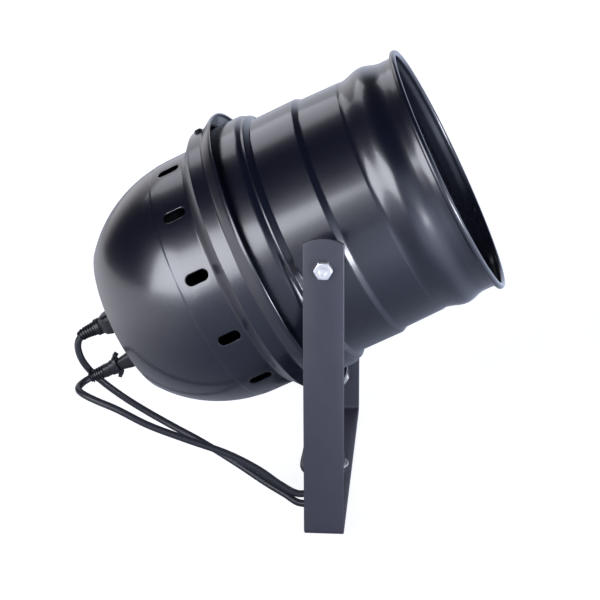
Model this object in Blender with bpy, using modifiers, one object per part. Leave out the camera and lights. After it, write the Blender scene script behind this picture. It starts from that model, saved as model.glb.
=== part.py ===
"""LED par can: a spun steel lamp can that tilts in a U-shaped yoke, with its two leads.

Metres, +Z up. The origin is the middle of the crossbar's underside, X runs to the beam's side
and Y along the tilt axis. The can's own frame sits at the pivot, tilted back: a point there is
given as place (along the beam), y and rise (square to both).
"""

import math

import bmesh
import bpy
import numpy as np
from mathutils import Matrix, Vector

# Fits between pieces
SEAT_GAP = 0.0003
HOLE_CLEARANCE = 0.00035
MERGE_DISTANCE = 0.00001

# Yoke: one bent strip
STRIP_WIDTH = 0.032
STRIP_THICKNESS = 0.003
ARM_GAP = 0.0238
BEND_RADIUS = 0.003
PIVOT_HEIGHT = 0.2245
ARM_TOP_RISE = 0.0233
ARM_TOP_RADIUS = 0.0307
CLAMP_BOLT_RADIUS = 0.006
CLAMP_WASHER_RADIUS = 0.013
CLAMP_WASHER_THICKNESS = 0.002
CLAMP_NUT_FLATS = 0.019
CLAMP_NUT_HEIGHT = 0.008
ARM_BOLT_PLACE = -0.001
ARM_BOLT_HEIGHT = 0.0366

# Can: rest angle of the beam above the horizontal
REST_TILT = math.radians(26.6)
FACETS = 32
SHELL_WALL = 0.001

# Front barrel: its outer radius, how far the rest lies inside or outside it, places along the beam
BODY_RADIUS = 0.1072
RIM_BEAD = 0.0026
RIM_INSET = 0.0017
RIM_PLACE = 0.1055
NECK_INSET = 0.0039
NECK_FRONT = 0.098
NECK_REAR = 0.092
BULGE_PLACE = 0.075
CREASE_INSET = 0.0040
CREASE_PLACE = 0.056
CREASE_WIDTH = 0.002
TAPER_FRONT_INSET = 0.0035
TAPER_REAR_INSET = 0.0025
STEP_FRONT = 0.0195
STEP_REAR = 0.015
SHOULDER_FRONT = -0.018
SHOULDER_KNEE_RISE = 0.005
SHOULDER_KNEE = -0.028
SHOULDER_REAR = -0.033
SKIRT_RISE = 0.0075
SKIRT_END = -0.073

# Rear casing: the belt fits round the skirt, and the lip flares from the belt
BELT_RISE = 0.0041
LIP_FLARE = 0.0067
LIP_PLACE = -0.050
LIP_LENGTH = 0.0105
BELT_FRONT = -0.062
BELT_REAR = -0.0745
DOME_RISE = 0.0004
CONE_REAR = -0.084
DOME_START = -0.105
DOME_LENGTH = 0.115
DISC_RADIUS = 0.068
DISC_EDGE = 0.0012
DOME_STEPS = 6
VENT_COUNT = 12
VENT_PHASE = 16
VENT_PLACE = -0.0992
VENT_LENGTH = 0.0195
VENT_WIDTH = 0.0094

# Tilt pivots, M8
PIVOT_BOLT_RADIUS = 0.0039
PIVOT_FLATS = 0.013
PIVOT_HEAD_HEIGHT = 0.0053
PIVOT_NUT_HEIGHT = 0.0065
PIVOT_WASHER_RADIUS = 0.008
PIVOT_WASHER_THICKNESS = 0.0016
BUSH_RADIUS = 0.010
BOLT_END = 0.0015

# Casing screws, M4, through the belt, a spacer and the skirt
SCREW_PLACE = -0.067
SCREW_RADIUS = 0.0019
SCREW_HEAD_RADIUS = 0.0036
SCREW_HEAD_HEIGHT = 0.0024
SCREW_NUT_FLATS = 0.007
SCREW_NUT_HEIGHT = 0.0032
SPACER_RADIUS = 0.004

# Lamp carrier and optics
CARRIER_THICKNESS = 0.002
RETAINER_WIRE = 0.0015
BOARD_INSET = 0.0132
BOARD_THICKNESS = 0.0016
LED_RADIUS = 0.012
LED_ROOT_RADIUS = 0.008
LED_HEIGHT = 0.008
LED_PITCH = 0.034
BEZEL_INSET = 0.0072
BEZEL_WALL = 0.003
BEZEL_HEIGHT = 0.017
BEZEL_FLANGE = 0.002
BEZEL_LIP = 0.006
LENS_THICKNESS = 0.003
SINK_INSET = 0.0522
SINK_BASE = 0.004
FIN_COUNT = 9
FIN_THICKNESS = 0.0025
FIN_HEIGHT = 0.025

# Chassis on the end disc
BRACKET_WIDTH = 0.090
BRACKET_SHEET = 0.002
BRACKET_Y = 0.011
BRACKET_FOOT = 0.029
BRACKET_LENGTH = 0.0878
BRACKET_SCREW_SPAN = 0.066
BRACKET_SCREW_Y = 0.027
SUPPLY_WIDTH = 0.080
SUPPLY_HEIGHT = 0.0335
SUPPLY_LENGTH = 0.070
SUPPLY_LIFT = 0.0078
CONTROL_WIDTH = 0.070
CONTROL_LENGTH = 0.070
CONTROL_LIFT = 0.0128
CONTROL_THICKNESS = 0.0016
STANDOFF_HEIGHT = 0.005
STANDOFF_FLATS = 0.0055
STANDOFF_INSET = 0.006

# Blocks on the control board: width, height and length, then places across and along the board
TRANSFORMER_SIZE = (0.022, 0.014, 0.018)
TRANSFORMER_PLACE = (-0.018, -0.018)
PROCESSOR_SIZE = (0.012, 0.004, 0.012)
PROCESSOR_PLACE = (0.008, 0.018)
TERMINAL_SIZE = (0.020, 0.010, 0.008)
TERMINAL_PLACE = (0.018, -0.026)

# Mains inlet and connector
CONNECTOR_Y = -0.034
MAINS_RISE = 0.0125
INLET_FLANGE_WIDTH = 0.031
INLET_FLANGE_HEIGHT = 0.024
FLANGE_THICKNESS = 0.002
INLET_WIDTH = 0.0275
INLET_HEIGHT = 0.0205
INLET_DEPTH = 0.022
INLET_WALL = 0.0015
MAINS_NOSE_LENGTH = 0.016
MAINS_BODY_WIDTH = 0.027
MAINS_BODY_HEIGHT = 0.018
MAINS_BODY_END = -0.2145
MAINS_BODY_TAPER = 0.0135
CONNECTOR_EDGE = 0.0015
MAINS_RING_LENGTH = 0.003
MAINS_BOOT_END = -0.226
BOOT_ROOT_RADIUS = 0.006
BOOT_TIP_RADIUS = 0.0045
BOOT_GROOVE = 0.0012
RIB_PITCH = 0.0021

# Data socket, connector and latch
DATA_RISE = -0.025
SOCKET_FLANGE_RADIUS = 0.012
SOCKET_RADIUS = 0.0086
SOCKET_DEPTH = 0.022
DATA_NOSE_RADIUS = 0.006
DATA_NOSE_LENGTH = 0.014
DATA_BODY_RADIUS = 0.00735
DATA_BODY_END = -0.205
DATA_WAIST_RADIUS = 0.0052
COLLAR_FRONT = -0.216
COLLAR_RADIUS = 0.0086
COLLAR_LENGTH = 0.0025
SLEEVE_RADIUS = 0.0065
SLEEVE_TIP_RADIUS = 0.0055
SLEEVE_END = -0.230
DATA_BOOT_END = -0.237
LATCH_WIDTH = 0.006
LATCH_THICKNESS = 0.003
LATCH_RISE = -0.0176
LATCH_FRONT = -0.2115
LATCH_REAR = -0.2175
LATCH_TIP = 0.0025
LATCH_STEM = 0.0024
LATCH_STEM_LENGTH = 0.0028
LATCH_TRAVEL = 0.001

# Cords and their coils
CORD_RADIUS = 0.003
CORD_STEP = 0.0095
CORD_STRAIGHT = 0.0025
INNER_LEAD_RADIUS = 0.002
INNER_LEAD_STEP = 0.009
LEAD_BEND = 0.010
SUPPLY_LEAD_Y = 0.019
SUPPLY_LEAD_RISE = 0.026
SIGNAL_LEAD_RISE = -0.026
BOARD_LEAD_RISE = 0.010
LAMP_LEAD_Y = -0.010
LAMP_LEAD_INSET = 0.0352
COIL_TURNS = 4.25
COIL_OUTER = 0.0395
COIL_PITCH = 0.0068
COIL_LAYER = 0.0069
COIL_ENTRY = 0.006
COIL_EXIT = 0.020
LOOP_POINTS = 24
TIE_THICKNESS = 0.001
TIE_WIDTH = 0.005
TIE_CORNER = 0.004
MAINS_COIL_CENTRE = (-0.0665, 0.250)
DATA_COIL_CENTRE = (-0.0515, 0.352)

# Far ends
PLUG_HEIGHT = 0.0218
PLUG_WIDTH = 0.036
PLUG_LENGTH = 0.030
PLUG_TAPER = 0.62
PLUG_EDGE = 0.003
PLUG_RELIEF_LENGTH = 0.014
PLUG_RELIEF_RADIUS = 0.0065
PLUG_RELIEF_SUNK = 0.0042
PIN_RADIUS = 0.0024
PIN_LENGTH = 0.019
PIN_SUNK = 0.00475
PIN_SPAN = 0.019
DATA_PLUG_RADIUS = 0.0106
DATA_PLUG_LENGTH = 0.044
DATA_PLUG_RECESS = 0.014
DATA_PLUG_WALL = 0.0022
DATA_PLUG_STEP = 0.001
DATA_GRIP_LENGTH = 0.0121
DATA_PIN_RADIUS = 0.0012
DATA_PIN_LENGTH = 0.0112
DATA_PIN_SUNK = 0.004

# Places worked out from the sizes above
ARM_INNER = BODY_RADIUS + ARM_GAP
ARM_OUTER = ARM_INNER + STRIP_THICKNESS
RIM_RADIUS = BODY_RADIUS - RIM_INSET
NECK_RADIUS = BODY_RADIUS - NECK_INSET
BULGE_RADIUS = BODY_RADIUS
CREASE_RADIUS = BODY_RADIUS - CREASE_INSET
TAPER_FRONT_RADIUS = BODY_RADIUS - TAPER_FRONT_INSET
TAPER_REAR_RADIUS = BODY_RADIUS - TAPER_REAR_INSET
SHOULDER_KNEE_RADIUS = BODY_RADIUS + SHOULDER_KNEE_RISE
SKIRT_RADIUS = BODY_RADIUS + SKIRT_RISE
BELT_RADIUS = SKIRT_RADIUS + BELT_RISE
LIP_RADIUS = BELT_RADIUS + LIP_FLARE
DOME_RADIUS = BODY_RADIUS + DOME_RISE
BOARD_RADIUS = BODY_RADIUS - BOARD_INSET
BEZEL_RADIUS = BODY_RADIUS - BEZEL_INSET
SINK_SIDE = 2 * (BODY_RADIUS - SINK_INSET)
PIVOT_HOLE = PIVOT_BOLT_RADIUS + HOLE_CLEARANCE
SCREW_HOLE = SCREW_RADIUS + HOLE_CLEARANCE
DISC_PLACE = DOME_START - DOME_LENGTH * math.sqrt(1 - (DISC_RADIUS / DOME_RADIUS) ** 2)
FLANGE_FRONT = DISC_PLACE - SEAT_GAP
FLANGE_REAR = FLANGE_FRONT - FLANGE_THICKNESS
CHASSIS_REAR = DISC_PLACE + SHELL_WALL + SEAT_GAP
BRACKET_FRONT = CHASSIS_REAR + BRACKET_LENGTH
SUPPLY_FRONT = CHASSIS_REAR + SUPPLY_LIFT + SUPPLY_LENGTH
CONTROL_FRONT = CHASSIS_REAR + CONTROL_LIFT + CONTROL_LENGTH
CARRIER_FRONT = STEP_REAR - SHELL_WALL / 2
CARRIER_REAR = CARRIER_FRONT - CARRIER_THICKNESS
BODY_INSIDE = BODY_RADIUS - SHELL_WALL
SKIRT_INSIDE = SKIRT_RADIUS - SHELL_WALL
BELT_INSIDE = BELT_RADIUS - SHELL_WALL
COIL_BOTTOM = TIE_THICKNESS + SEAT_GAP + CORD_RADIUS
COIL_INNER = COIL_OUTER - COIL_TURNS / 2 * COIL_PITCH

# The mains cord's route, by hand, from its boot's end to its coil
MAINS_ROUTE = (
    (-0.2132, -0.034, 0.1304), (-0.2162, -0.034, 0.1252), (-0.2167, -0.034, 0.1194),
    (-0.2152, -0.033, 0.1115), (-0.2116, -0.030, 0.1022), (-0.2045, -0.026, 0.0916),
    (-0.1943, -0.0225, 0.0806), (-0.1792, -0.020, 0.0680), (-0.1609, -0.021, 0.0568),
    (-0.1395, -0.025, 0.0464), (-0.1120, -0.035, 0.0362), (-0.0810, -0.051, 0.0249),
    (-0.0520, -0.068, 0.0139), (-0.0360, -0.0775, 0.0090), (-0.0250, -0.0845, 0.0054),
    (-0.0149, -0.0886, 0.0064), (-0.0033, -0.0865, 0.0064), (0.0059, -0.0789, 0.0064),
    (0.0091, -0.0667, 0.0064), (0.0040, -0.0526, 0.0064), (-0.0055, -0.0413, 0.0064),
    (-0.0147, -0.0303, 0.0064), (-0.0218, -0.0210, 0.0050), (-0.0260, -0.010, 0.0036),
    (-0.0272, 0.002, 0.0033), (-0.027, 0.020, 0.0033), (-0.027, 0.060, 0.0033),
    (-0.027, 0.110, 0.0033), (-0.027, 0.170, 0.0033), (-0.027, 0.215, 0.0038),
)

# The data cord's route, by hand; it lies over the mains cord on the crossbar
DATA_ROUTE = (
    (-0.2068, -0.0350, 0.0930), (-0.2112, -0.0383, 0.0911), (-0.2138, -0.0434, 0.0899),
    (-0.2144, -0.0493, 0.0893), (-0.2124, -0.056, 0.0890), (-0.2068, -0.0616, 0.0878),
    (-0.1966, -0.066, 0.0849), (-0.1786, -0.070, 0.0792), (-0.1514, -0.073, 0.0667),
    (-0.1178, -0.074, 0.0546), (-0.0842, -0.075, 0.0433), (-0.0580, -0.077, 0.0305),
    (-0.0400, -0.0795, 0.0188), (-0.0250, -0.0812, 0.0118), (-0.0145, -0.080, 0.0129),
    (-0.0052, -0.0742, 0.0130), (0.0006, -0.0654, 0.0130), (0.0018, -0.0572, 0.0130),
    (-0.0010, -0.0465, 0.0130), (-0.0065, -0.0365, 0.0130), (-0.0120, -0.0265, 0.0110),
    (-0.0163, -0.0155, 0.0079), (-0.0188, -0.004, 0.0054), (-0.020, 0.008, 0.0038),
    (-0.020, 0.025, 0.0033), (-0.020, 0.070, 0.0033), (-0.020, 0.120, 0.0033),
    (-0.0185, 0.150, 0.0033), (-0.0145, 0.180, 0.0033), (-0.0123, 0.210, 0.0033),
    (-0.012, 0.240, 0.0033), (-0.012, 0.300, 0.0033), (-0.012, 0.325, 0.0037),
)

# Colour, metallic and roughness of each finish
FINISHES = {
    "black_satin_paint": ((0.020, 0.022, 0.028), 0.0, 0.34),
    "grey_black_paint": ((0.050, 0.052, 0.066), 0.0, 0.45),
    "zinc": ((0.62, 0.62, 0.60), 1.0, 0.35),
    "black_oxide": ((0.035, 0.035, 0.038), 1.0, 0.45),
    "aluminium": ((0.60, 0.61, 0.62), 1.0, 0.40),
    "steel": ((0.48, 0.48, 0.48), 1.0, 0.38),
    "black_plastic": ((0.022, 0.022, 0.026), 0.0, 0.42),
    "black_cable": ((0.028, 0.029, 0.036), 0.0, 0.36),
    "circuit_board": ((0.010, 0.090, 0.040), 0.0, 0.45),
    "clear_lens": ((0.75, 0.77, 0.78), 0.0, 0.08),
    "brass": ((0.70, 0.52, 0.22), 1.0, 0.30),
}

parts = bpy.data.collections.new("led_par_can")
cutters = bpy.data.collections.new("cutters")


def clear_scene():
    """Remove what is in the scene and link the two collections."""
    for obj in list(bpy.data.objects):
        bpy.data.objects.remove(obj, do_unlink=True)
    for collection in (parts, cutters):
        bpy.context.scene.collection.children.link(collection)
    cutters.hide_render = True


def material_for(name, finish):
    """The sub-part's own material, in the colour of its finish."""
    colour, metallic, roughness = FINISHES[finish]
    material = bpy.data.materials.new(f"{name}_{finish}")
    material.use_nodes = True
    shader = material.node_tree.nodes["Principled BSDF"]
    shader.inputs["Base Color"].default_value = (*colour, 1)
    shader.inputs["Metallic"].default_value = metallic
    shader.inputs["Roughness"].default_value = roughness
    return material


def add(name, mesh, finish=None, parent=None, location=(0, 0, 0), turn=(0, 0, 0)):
    """An object for the mesh: a sub-part if it has a finish, and otherwise a cutter."""
    obj = bpy.data.objects.new(name, mesh)
    obj.parent = parent
    obj.location = location
    obj.rotation_euler = [math.radians(angle) for angle in turn]
    if finish:
        parts.objects.link(obj)
        mesh.materials.append(material_for(name, finish))
    else:
        cutters.objects.link(obj)
        obj.hide_render = True
        obj.display_type = "WIRE"
    return obj


def empty(name, location, turn=(0, 0, 0)):
    """A parent for the pieces of one frame."""
    obj = bpy.data.objects.new(name, None)
    obj.location = location
    obj.rotation_euler = [math.radians(angle) for angle in turn]
    obj.empty_display_size = 0.02
    parts.objects.link(obj)
    return obj


def in_can(place, y, rise):
    """A point of the can's frame: along the beam, along the pivots and square to both."""
    return Vector((-rise, y, place))


def mesh_of(name, shape, smooth=False):
    """The mesh of a bmesh, flat or smooth with sharp edges."""
    mesh = bpy.data.meshes.new(name)
    shape.to_mesh(mesh)
    shape.free()
    if smooth:
        mesh.shade_smooth()
        mesh.set_sharp_from_angle(angle=math.radians(30))
    return mesh


def box_mesh(name, size, rear_scale=(1, 1)):
    """A box round its origin, whose end at -Z may be narrower."""
    shape = bmesh.new()
    bmesh.ops.create_cube(shape, size=1)
    bmesh.ops.scale(shape, vec=size, verts=shape.verts)
    rear = [vertex for vertex in shape.verts if vertex.co.z < 0]
    bmesh.ops.scale(shape, vec=(*rear_scale, 1), verts=rear)
    return mesh_of(name, shape)


def rod_mesh(name, radius, length, sides=16, front_radius=None):
    """A cylinder or cone round its origin along Z; front_radius is the one at +Z."""
    shape = bmesh.new()
    bmesh.ops.create_cone(
        shape,
        cap_ends=True,
        segments=sides,
        radius1=radius,
        radius2=radius if front_radius is None else front_radius,
        depth=length,
    )
    return mesh_of(name, shape, smooth=sides > 6)


def hexagon_radius(flats):
    """The corner radius of a hexagon across its flats."""
    return flats / math.sqrt(3)


def flat_seat(radius, half_width):
    """How far out a flat piece of this half width reaches inside a shell of this inner radius."""
    return radius - half_width * math.tan(math.pi / FACETS) - SEAT_GAP


def arc(centre, radius, start, end, steps):
    """Points on an arc, with its angles in degrees."""
    points = []
    for angle in np.radians(np.linspace(start, end, steps + 1)):
        points.append((centre[0] + radius * math.cos(angle), centre[1] + radius * math.sin(angle)))
    return points


def ease(start, end, steps):
    """Points after start, on a half wave to end that leaves both along the beam."""
    points = []
    for share in np.linspace(0, 1, steps + 1)[1:]:
        swing = (1 - math.cos(math.pi * share)) / 2
        points.append((
            start[0] + (end[0] - start[0]) * swing,
            start[1] + (end[1] - start[1]) * share,
        ))
    return points


def turned(name, profile, finish=None, steps=16, closed=False, wall=None, **where):
    """A profile of (radius, height), from top to bottom, turned round Z."""
    mesh = bpy.data.meshes.new(name)
    edges = [(i, i + 1) for i in range(len(profile) - 1)]
    if closed:
        edges.append((len(profile) - 1, 0))
    mesh.from_pydata([(radius, 0, height) for radius, height in profile], edges, [])
    obj = add(name, mesh, finish, **where)
    screw = obj.modifiers.new("turn", "SCREW")
    screw.steps = steps
    screw.render_steps = steps
    screw.use_merge_vertices = True
    screw.merge_threshold = MERGE_DISTANCE
    if wall:
        solidify = obj.modifiers.new("wall", "SOLIDIFY")
        solidify.thickness = wall
        solidify.offset = -1
        solidify.use_even_offset = True
    return obj


def ring_profile(outer, inner, top, bottom):
    """The closed profile of a plain ring."""
    return [(outer, top), (outer, bottom), (inner, bottom), (inner, top)]


def mesh_of_curve(name, curve):
    """A curve made a mesh, with its caps welded."""
    obj = bpy.data.objects.new(name, curve)
    parts.objects.link(obj)
    bpy.context.view_layer.update()
    graph = bpy.context.evaluated_depsgraph_get()
    mesh = bpy.data.meshes.new_from_object(obj.evaluated_get(graph))
    bpy.data.objects.remove(obj)
    shape = bmesh.new()
    shape.from_mesh(mesh)
    bmesh.ops.remove_doubles(shape, verts=shape.verts, dist=MERGE_DISTANCE)
    bpy.data.meshes.remove(mesh)
    return mesh_of(name, shape)


def plate_mesh(name, outlines, thickness):
    """A flat plate round its middle plane; the outlines after the first are holes."""
    curve = bpy.data.curves.new(name, "CURVE")
    curve.dimensions = "2D"
    curve.fill_mode = "BOTH"
    curve.extrude = thickness / 2
    for outline in outlines:
        spline = curve.splines.new("POLY")
        spline.points.add(len(outline) - 1)
        for point, (x, y) in zip(spline.points, outline):
            point.co = (x, y, 0, 1)
        spline.use_cyclic_u = True
    return mesh_of_curve(name, curve)


def tube(name, points, radius, finish, sides_level=2, parent=None):
    """A round tube along the points, as a curve with filled caps."""
    curve = bpy.data.curves.new(name, "CURVE")
    curve.dimensions = "3D"
    curve.bevel_depth = radius
    curve.bevel_resolution = sides_level
    curve.use_fill_caps = True
    spline = curve.splines.new("POLY")
    spline.points.add(len(points) - 1)
    for point, place in zip(spline.points, points):
        point.co = (*place, 1)
    obj = bpy.data.objects.new(name, curve)
    obj.parent = parent
    parts.objects.link(obj)
    curve.materials.append(material_for(name, finish))
    return obj


def combine(target, tool, operation):
    """A Boolean of a cutter or helper on a sub-part."""
    modifier = target.modifiers.new(tool.name, "BOOLEAN")
    modifier.operation = operation
    modifier.solver = "EXACT"
    modifier.object = tool


def cut(target, tool):
    combine(target, tool, "DIFFERENCE")


def join(target, tool):
    combine(target, tool, "UNION")


def smooth_curve(points, step):
    """Even points on a centripetal Catmull-Rom curve through the points."""
    points = np.array(points, float)
    points = np.vstack([2 * points[0] - points[1], points, 2 * points[-1] - points[-2]])
    knots = np.concatenate([[0], np.cumsum(np.linalg.norm(np.diff(points, axis=0), axis=1) ** 0.5)])
    fine = []
    for i in range(1, len(points) - 2):
        a, b, c, d = points[i - 1:i + 3]
        ta, tb, tc, td = knots[i - 1:i + 3]
        for t in np.linspace(tb, tc, 16, endpoint=i == len(points) - 3):
            ab = ((tb - t) * a + (t - ta) * b) / (tb - ta)
            bc = ((tc - t) * b + (t - tb) * c) / (tc - tb)
            cd = ((td - t) * c + (t - tc) * d) / (td - tc)
            abc = ((tc - t) * ab + (t - ta) * bc) / (tc - ta)
            bcd = ((td - t) * bc + (t - tb) * cd) / (td - tb)
            fine.append(((tc - t) * abc + (t - tb) * bcd) / (tc - tb))
    fine = np.array(fine)
    run = np.concatenate([[0], np.cumsum(np.linalg.norm(np.diff(fine, axis=0), axis=1))])
    marks = np.linspace(0, run[-1], round(run[-1] / step) + 1)
    return [tuple(np.interp(mark, run, fine[:, axis]) for axis in range(3)) for mark in marks]


def build_yoke():
    """The bent strip, cut to its rounded arm tops and drilled."""
    outside = BEND_RADIUS + STRIP_THICKNESS
    bend = ARM_OUTER - outside
    top = PIVOT_HEIGHT + ARM_TOP_RISE + STRIP_THICKNESS
    outline = [(-ARM_OUTER, top)]
    outline += arc((-bend, outside), outside, 180, 270, 3)
    outline += arc((bend, outside), outside, 270, 360, 3)
    outline += [(ARM_OUTER, top), (ARM_INNER, top)]
    outline += arc((bend, outside), BEND_RADIUS, 0, -90, 3)
    outline += arc((-bend, outside), BEND_RADIUS, -90, -180, 3)
    outline += [(-ARM_INNER, top)]
    mesh = plate_mesh("yoke", [outline], 2 * STRIP_WIDTH)
    yoke = add("yoke", mesh, "grey_black_paint", turn=(90, 0, 90))

    half = math.degrees(math.asin(STRIP_WIDTH / 2 / ARM_TOP_RADIUS))
    centre = (0, PIVOT_HEIGHT + ARM_TOP_RISE - ARM_TOP_RADIUS)
    side = [(-STRIP_WIDTH / 2, -STRIP_WIDTH), (STRIP_WIDTH / 2, -STRIP_WIDTH)]
    side += arc(centre, ARM_TOP_RADIUS, 90 - half, 90 + half, 8)
    shape = plate_mesh("arm_shape", [side], 3 * ARM_OUTER)
    combine(yoke, add("arm_shape", shape, turn=(90, 0, 0)), "INTERSECT")

    bore = rod_mesh("arm_bores", PIVOT_HOLE, 3 * ARM_OUTER)
    cut(yoke, add("arm_bores", bore, location=(0, 0, PIVOT_HEIGHT), turn=(90, 0, 0)))
    hole = rod_mesh("clamp_bore", CLAMP_BOLT_RADIUS + HOLE_CLEARANCE, 4 * STRIP_THICKNESS)
    cut(yoke, add("clamp_bore", hole))
    hole = rod_mesh("arm_bolt_bore", PIVOT_HOLE, 4 * STRIP_THICKNESS)
    place = (ARM_BOLT_PLACE, (ARM_OUTER + ARM_INNER) / 2, ARM_BOLT_HEIGHT)
    cut(yoke, add("arm_bolt_bore", hole, location=place, turn=(90, 0, 0)))


def build_clamp_nut():
    """Washer and nut over the clamp hole, on the crossbar."""
    bore = CLAMP_BOLT_RADIUS + HOLE_CLEARANCE
    washer_bottom = STRIP_THICKNESS + SEAT_GAP
    washer_top = washer_bottom + CLAMP_WASHER_THICKNESS
    turned("clamp_washer", ring_profile(CLAMP_WASHER_RADIUS, bore, washer_top, washer_bottom),
           "zinc", steps=24, closed=True)
    nut_middle = washer_top + SEAT_GAP + CLAMP_NUT_HEIGHT / 2
    mesh = rod_mesh("clamp_nut", hexagon_radius(CLAMP_NUT_FLATS), CLAMP_NUT_HEIGHT, sides=6)
    nut = add("clamp_nut", mesh, "black_oxide", location=(0, 0, nut_middle))
    hole = rod_mesh("clamp_nut_bore", CLAMP_BOLT_RADIUS, 2 * CLAMP_NUT_HEIGHT)
    cut(nut, add("clamp_nut_bore", hole, location=(0, 0, nut_middle)))


def hex_bolt(name, start, head, shank_end, side, finish, parent=None, place=(0, 0), turn=0):
    """A bolt along Y: its head lies outside start, its shank ends at shank_end; side is -1 or 1."""
    head_mesh = rod_mesh(name, hexagon_radius(PIVOT_FLATS), head, sides=6)
    x, z = place
    middle = start + head / 2
    bolt = add(name, head_mesh, finish, parent=parent,
               location=(x, side * middle, z), turn=(90, turn, 0))
    length = start + head / 2 - shank_end
    shank = rod_mesh(f"{name}_shank", PIVOT_BOLT_RADIUS, length)
    join(bolt, add(f"{name}_shank", shank, parent=parent,
                   location=(x, side * (shank_end + length / 2), z), turn=(90, 0, 0)))
    return bolt


def hex_nut(name, outer, height, side, finish, parent=None, place=(0, 0), turn=0):
    """A nut along Y whose outer face is at outer."""
    mesh = rod_mesh(name, hexagon_radius(PIVOT_FLATS), height, sides=6)
    x, z = place
    where = (x, side * (outer - height / 2), z)
    nut = add(name, mesh, finish, parent=parent, location=where, turn=(90, turn, 0))
    bore = rod_mesh(f"{name}_bore", PIVOT_BOLT_RADIUS + SEAT_GAP, 2 * height)
    cut(nut, add(f"{name}_bore", bore, parent=parent, location=where, turn=(90, 0, 0)))
    return nut


def build_arm_bolt():
    """The bolt near the foot of the far arm, with its nut inside."""
    place = (ARM_BOLT_PLACE, ARM_BOLT_HEIGHT)
    nut_outer = ARM_INNER - SEAT_GAP
    hex_nut("arm_nut", nut_outer, PIVOT_NUT_HEIGHT, 1, "zinc", place=place, turn=30)
    hex_bolt("arm_bolt", ARM_OUTER + SEAT_GAP, PIVOT_HEAD_HEIGHT,
             nut_outer - PIVOT_NUT_HEIGHT - BOLT_END, 1, "zinc", place=place, turn=30)


def barrel_profile():
    """Rolled rim, neck, bulge, crease, taper, step, body, shoulder and skirt, front to back."""
    bulge = (BULGE_RADIUS, BULGE_PLACE)
    profile = arc((RIM_RADIUS, RIM_PLACE), RIM_BEAD, 180, -25, 5)
    profile += [(NECK_RADIUS, NECK_FRONT), (NECK_RADIUS, NECK_REAR)]
    profile += ease((NECK_RADIUS, NECK_REAR), bulge, 3)
    profile += ease(bulge, (CREASE_RADIUS, CREASE_PLACE), 3)
    profile += [
        (TAPER_FRONT_RADIUS, CREASE_PLACE - CREASE_WIDTH),
        (TAPER_REAR_RADIUS, STEP_FRONT),
        (BODY_RADIUS, STEP_REAR),
        (BODY_RADIUS, SHOULDER_FRONT),
        (SHOULDER_KNEE_RADIUS, SHOULDER_KNEE),
        (SKIRT_RADIUS - (SKIRT_RADIUS - SHOULDER_KNEE_RADIUS) / 5, (SHOULDER_KNEE + SHOULDER_REAR) / 2),
        (SKIRT_RADIUS, SHOULDER_REAR),
        (SKIRT_RADIUS, SKIRT_END),
    ]
    return profile


def casing_profile():
    """Flared lip, belt, cone, vent band, dome and end disc, front to back."""
    profile = [
        (LIP_RADIUS - 0.08 * LIP_FLARE, LIP_PLACE + 0.05 * LIP_LENGTH),
        (LIP_RADIUS, LIP_PLACE - 0.04 * LIP_LENGTH),
        (LIP_RADIUS - 0.09 * LIP_FLARE, LIP_PLACE - 0.29 * LIP_LENGTH),
        (BELT_RADIUS + 0.54 * LIP_FLARE, LIP_PLACE - 0.71 * LIP_LENGTH),
        (BELT_RADIUS + 0.24 * LIP_FLARE, LIP_PLACE - LIP_LENGTH),
        (BELT_RADIUS, BELT_FRONT),
        (BELT_RADIUS, BELT_REAR),
        (DOME_RADIUS + 0.08 * (BELT_RADIUS - DOME_RADIUS), CONE_REAR),
        (DOME_RADIUS, CONE_REAR - 0.25 * (BELT_REAR - CONE_REAR)),
    ]
    end = math.acos((DISC_RADIUS + DISC_EDGE) / DOME_RADIUS)
    for angle in np.linspace(0, end, DOME_STEPS + 1):
        profile.append((DOME_RADIUS * math.cos(angle), DOME_START - DOME_LENGTH * math.sin(angle)))
    profile += [(DISC_RADIUS - DISC_EDGE, DISC_PLACE), (0, DISC_PLACE)]
    return profile


def vents_mesh():
    """All the vent slots as one set of radial prisms, long ways along the beam."""
    end = VENT_WIDTH / 2
    straight = VENT_LENGTH / 2 - end
    outline = arc((straight, 0), end, -90, 90, 4) + arc((-straight, 0), end, 90, 270, 4)
    slot = plate_mesh("vent", [outline], 0.4 * DOME_RADIUS)
    shape = bmesh.new()
    for k in range(VENT_COUNT):
        before = len(shape.verts)
        shape.from_mesh(slot)
        shape.verts.ensure_lookup_table()
        new = shape.verts[before:]
        angle = math.radians(VENT_PHASE + 360 * k / VENT_COUNT)
        radial = in_can(0, -math.cos(angle), math.sin(angle))
        along = Vector((0, 0, 1))
        frame = Matrix((along, radial.cross(along), radial)).transposed()
        centre = radial * DOME_RADIUS + in_can(VENT_PLACE, 0, 0)
        bmesh.ops.transform(shape, matrix=Matrix.Translation(centre) @ frame.to_4x4(), verts=new)
    bpy.data.meshes.remove(slot)
    return mesh_of("vents", shape)


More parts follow.
